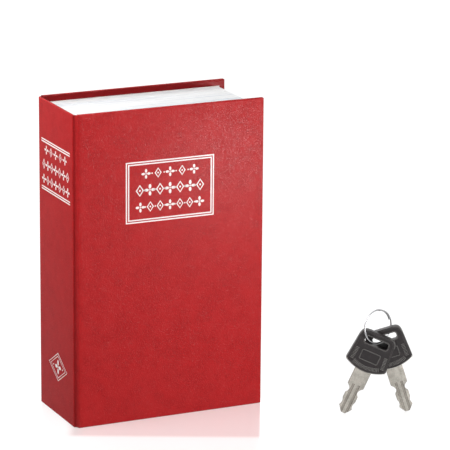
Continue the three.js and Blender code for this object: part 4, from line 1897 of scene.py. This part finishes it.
    def rib(self, place: Matrix, reach: Pair, side: int) -> BMesh:
        """One short grip rib.

        Args:
            place: where it starts, with Y along it.
            reach: where it starts and ends along Y.
            side: 1 for the face at high Z, and -1 for the other.

        Returns:
            A closed mesh.
        """
        half = self.rib_width / 2
        bm = block((-half, half), reach, self.line_height(side))
        self.raised(bm, bm.edges, 1, self.wear_and_painted_light.rib)
        move(bm, place)
        return bm

    def ribs(self, side: int) -> list[BMesh]:
        """Short grip ribs, along the head's round foot and up both its sides.

        Args:
            side: 1 for the face at high Z, and -1 for the other.

        Returns:
            A closed mesh for each.
        """
        made = []
        rise = (self.head_foot - self.shoulder) / (self.foot_width / 2) ** 2
        for i in range(self.foot_ribs):
            x = (i - (self.foot_ribs - 1) / 2) * self.rib_pitch
            lean = Matrix.Rotation(math.atan(2 * rise * x), 4, "Z")
            place = Matrix.Translation((x, -self.head_foot + rise * x * x, 0)) @ lean
            made.append(self.rib(place, self.foot_rib_reach, side))
        slant = math.atan2((self.foot_width - self.top_width) / 2, self.shoulder)
        for end in (-1, 1):
            turn = Matrix.Rotation(end * (QUARTER_TURN + slant), 4, "Z")
            for i in range(self.side_ribs):
                y = -self.shoulder + (self.side_rib_start + i) * self.rib_pitch
                x = end * (self.foot_width / 2 - math.tan(slant) * (y + self.shoulder))
                place = Matrix.Translation((x, y, 0)) @ turn
                made.append(self.rib(place, self.side_rib_reach, side))
        return made

    def head(self, stand: KeyStand) -> None:
        """One key's moulded head, with its slot, border, label frame and grip ribs.

        Args:
            stand: how the key stands.
        """
        slot = round_rectangle((0, 0), self.slot, self.slot_corner)
        bm = plate_with_holes(self.head_outline(), [slot], (-self.face, self.face))
        below = [
            e
            for e in corners(bm, SQUARE_CORNER)
            if all(v.co.y < SMALL - self.shoulder for v in e.verts)
            and abs(e.verts[0].co.z - e.verts[1].co.z) < SMALL
        ]
        # The foot's rounded edge is marked fully pale: a painted highlight along it.
        soften(bm, below, self.foot_edge, 3, self.wear_and_painted_light.foot)
        # The upright edges and the straight sides are longer than this, and stay sharp.
        curved = [e for e in corners(bm, SQUARE_CORNER) if e.calc_length() < self.long_edge]
        soften(bm, curved, self.edge, 3, self.wear_and_painted_light.edge)
        for side in (-1, 1):
            for line in (*self.head_lines(side), *self.ribs(side)):
                join_into(bm, line)
        move(bm, self.key_matrix(stand))
        node = f"{stand.body.value}_head"
        piece(bm, f"{node}_moulding", self.finishes.plastic, stand.body, (node,))

    def blade(self, stand: KeyStand) -> None:
        """One key's blade, with shade painted dark in its grooves and along its cuts.

        Args:
            stand: how the key stands.
        """
        node = f"{stand.body.value}_blade"
        place = self.key_matrix(stand)
        bm = merged_copy(node)
        move(bm, place.inverted())
        # Painted shade: the cut edges' roundings are marked dark, and below, the groove walls fully and
        # their floors partly.
        soften(bm, corners(bm), self.blade_edge, 2, self.wear_and_painted_light.blade_edge)
        bm.normal_update()
        floor = self.blade_half - self.groove_depth
        for face in bm.faces:
            x, _, z = face.calc_center_median()
            if abs(x) < self.groove_side and floor - SMALL < abs(z) < self.blade_half - SMALL:
                flat = abs(face.normal.z) > self.groove_flat
                mark(bm, [face], self.wear_and_painted_light.groove_floor if flat else self.wear_and_painted_light.groove_wall)
        move(bm, place)
        piece(bm, f"{node}_cut", self.finishes.nickel, stand.body, (node,))

    def ring(self) -> None:
        """The split ring that joins the keys."""
        bm = self.ring_coil.mesh()
        rise = self.slot_height(self.stands[0].splay) + self.ring_rise
        upright = QUARTER_TURN - self.ring_lean
        turned = Matrix.Rotation(self.ring_turn, 4, "Z") @ Matrix.Rotation(upright, 4, "X")
        start = Matrix.Rotation(self.ring_start, 4, "Z")
        at = Matrix.Translation((*self.ring_shift, rise))
        move(bm, self.set_matrix() @ at @ turned @ start)
        piece(bm, "key_ring_wire", self.finishes.spring_steel, Body.RING, ("key_ring",))

    def build(self) -> None:
        """Builds the keys and their ring."""
        for stand in self.stands:
            self.head(stand)
            self.blade(stand)
        self.ring()


@dataclass(frozen=True)
class Lamp:
    """One soft square lamp."""

    name: str
    place: Triple
    aim: Triple
    size: float
    power: float

    def build(self) -> None:
        """Adds the lamp."""
        data = bpy.data.lights.new(self.name, "AREA")
        data.shape = "SQUARE"
        data.size = self.size
        data.energy = self.power
        lamp = bpy.data.objects.new(self.name, data)
        lamp.location = self.place
        away = Vector(self.place) - Vector(self.aim)
        lamp.rotation_euler = away.to_track_quat("Z", "Y").to_euler()
        bpy.context.scene.collection.objects.link(lamp)


@dataclass
class Studio:
    """The floor, the light and the photograph's viewpoint."""

    camera_place: Triple = (-613.33 * MM, -1535.97 * MM, 562.20 * MM)
    yaw: float = math.radians(25)
    pitch: float = math.radians(15.245)
    roll: float = math.radians(0.456)
    lens: float = 245.06
    sensor: float = 36.0
    clip: Pair = (0.01, 50.0)
    floor_half: float = 8.0
    floor_gap: float = 0.02 * MM
    floor_colour: Colour = (0.36, 0.36, 0.36)
    floor_roughness: float = 0.16
    floor_shine: float = 0.25
    floor_lift: Pair = (0.70, 0.34)
    floor_mirror: float = 0.52
    polish_colour: Colour = (0.90, 0.90, 0.90)
    polish_turn: float = math.radians(25)
    polish_middle: Pair = (64 * MM, -3 * MM)
    polish_half: Pair = (53 * MM, 31 * MM)
    polish_fade: Pair = (8 * MM, 0.0)
    ambient: float = 0.18
    white: Colour = (1.0, 1.0, 1.0)
    lamps: tuple[Lamp, ...] = (
        Lamp("left_lamp", (-0.34, 0.05, 0.34), (0.0, 0.0, 0.12), 0.22, 0.63),
        Lamp("left_top_lamp", (-0.24, -0.04, 0.40), (0.0, 0.0, 0.14), 0.18, 0.83),
        Lamp("right_lamp", (0.47, -0.60, 0.07), (0.10, 0.0, 0.13), 0.12, 3.1),
        Lamp("front_lamp", (0.05, -0.55, 0.60), (0.06, 0.0, 0.12), 0.15, 1.55),
        Lamp("top_lamp", (0.06, 0.0, 1.2), (0.06, 0.0, 0.1), 0.8, 0.7),
        Lamp("back_lamp", (0.2, 1.1, 1.0), (0.06, 0.0, 0.1), 1.1, 7.2),
    )

    def camera(self) -> None:
        """Adds the camera at the photograph's viewpoint."""
        data = bpy.data.cameras.new("photo_camera")
        data.lens = self.lens
        data.sensor_width = self.sensor
        data.clip_start, data.clip_end = self.clip
        camera = bpy.data.objects.new("photo_camera", data)
        turned = (
            Matrix.Rotation(-self.yaw, 4, "Z")
            @ Matrix.Rotation(QUARTER_TURN - self.pitch, 4, "X")
            @ Matrix.Rotation(self.roll, 4, "Z")
        )
        camera.matrix_world = Matrix.Translation(self.camera_place) @ turned
        bpy.context.scene.collection.objects.link(camera)
        bpy.context.scene.camera = camera

    def seen_directly(self, shader: Shader) -> Socket:
        """1 for what the camera, a reflection or a refraction sees, 0 for what only lights.

        Args:
            shader: the material that is being built.

        Returns:
            The socket of the result.
        """
        seen = shader.add("ShaderNodeLightPath", {}).outputs
        either = shader.math("MAXIMUM", seen["Is Camera Ray"], seen["Is Glossy Ray"])
        return shader.math("MAXIMUM", either, seen["Is Transmission Ray"])

    def polish(self, shader: Shader) -> Socket:
        """Where the floor is polished: 1 before the book's foot, and 0 away from it.

        Args:
            shader: the material that is being built.

        Returns:
            The socket of the result.
        """
        inputs = {"Vector": shader.place(), "Angle": self.polish_turn}
        turned = shader.add("ShaderNodeVectorRotate", inputs, rotation_type="Z_AXIS")
        split = shader.add("ShaderNodeSeparateXYZ", {"Vector": turned.outputs["Vector"]})
        squares = []
        for axis, middle, half in zip("XY", self.polish_middle, self.polish_half):
            offset = shader.math("SUBTRACT", split.outputs[axis], middle)
            side = shader.math("SUBTRACT", shader.math("ABSOLUTE", offset, 0.0), half)
            beyond = shader.math("MAXIMUM", side, 0.0)
            squares.append(shader.times(beyond, beyond))
        distance = shader.math("SQRT", shader.math("ADD", *squares), 0.0)
        return shader.band(distance, *self.polish_fade)

    def floor_material(self) -> bpy.types.Material:
        """A pale floor that looks white, glossier before the book's foot.

        Returns:
            The finished material.
        """
        shader = Shader("studio_floor")
        seen = self.seen_directly(shader)
        polish = shader.times(self.polish(shader), seen)
        return shader.done(
            Base_Color=shader.blend(polish, self.floor_colour, self.polish_colour),
            Metallic=shader.times(polish, self.floor_mirror),
            Roughness=self.floor_roughness,
            Specular_IOR_Level=self.floor_shine,
            Emission_Color=rgba(self.white),
            Emission_Strength=shader.times(seen, shader.between(polish, self.floor_lift)),
        )

    def floor(self) -> None:
        """Adds the floor."""
        bm = bmesh.new()
        bmesh.ops.create_grid(bm, x_segments=1, y_segments=1, size=self.floor_half)
        shift(bm, bm.verts, (0, 0, -self.floor_gap))
        mesh = bpy.data.meshes.new("floor")
        bm.to_mesh(mesh)
        bm.free()
        mesh.materials.append(self.floor_material())
        obj = bpy.data.objects.new("floor", mesh)
        bpy.context.scene.collection.objects.link(obj)

    def world(self) -> None:
        """Lights the room evenly, and shows it white."""
        world = bpy.data.worlds.new("studio_world")
        bpy.context.scene.world = world
        world.use_nodes = True
        tree = world.node_tree
        path = tree.nodes.new("ShaderNodeLightPath")
        background = tree.nodes["Background"]
        seen = tree.nodes.new("ShaderNodeMath")
        seen.operation = "MAXIMUM"
        tree.links.new(path.outputs["Is Camera Ray"], seen.inputs[0])
        tree.links.new(path.outputs["Is Glossy Ray"], seen.inputs[1])
        strength = tree.nodes.new("ShaderNodeMapRange")
        strength.inputs["To Min"].default_value = self.ambient
        strength.inputs["To Max"].default_value = 1.0
        tree.links.new(seen.outputs[0], strength.inputs["Value"])
        background.inputs["Color"].default_value = rgba(self.white)
        tree.links.new(strength.outputs["Result"], background.inputs["Strength"])

    def build(self) -> None:
        """Adds the whole studio."""
        self.camera()
        self.floor()
        self.world()
        for lamp in self.lamps:
            lamp.build()
        bpy.context.scene.view_settings.view_transform = "Standard"


def main() -> None:
    """Builds the studio and every sub-assembly."""
    logging.basicConfig(level=logging.INFO, format="%(message)s")
    Studio().build()
    finishes = Finishes()
    for kind in (Covers, FoilStamping, PageBlock, CashBox, CamLock, KeySet):
        LOG.info("building %s", kind.__name__)
        kind(finishes).build()


if __name__ == "__main__":
    main()
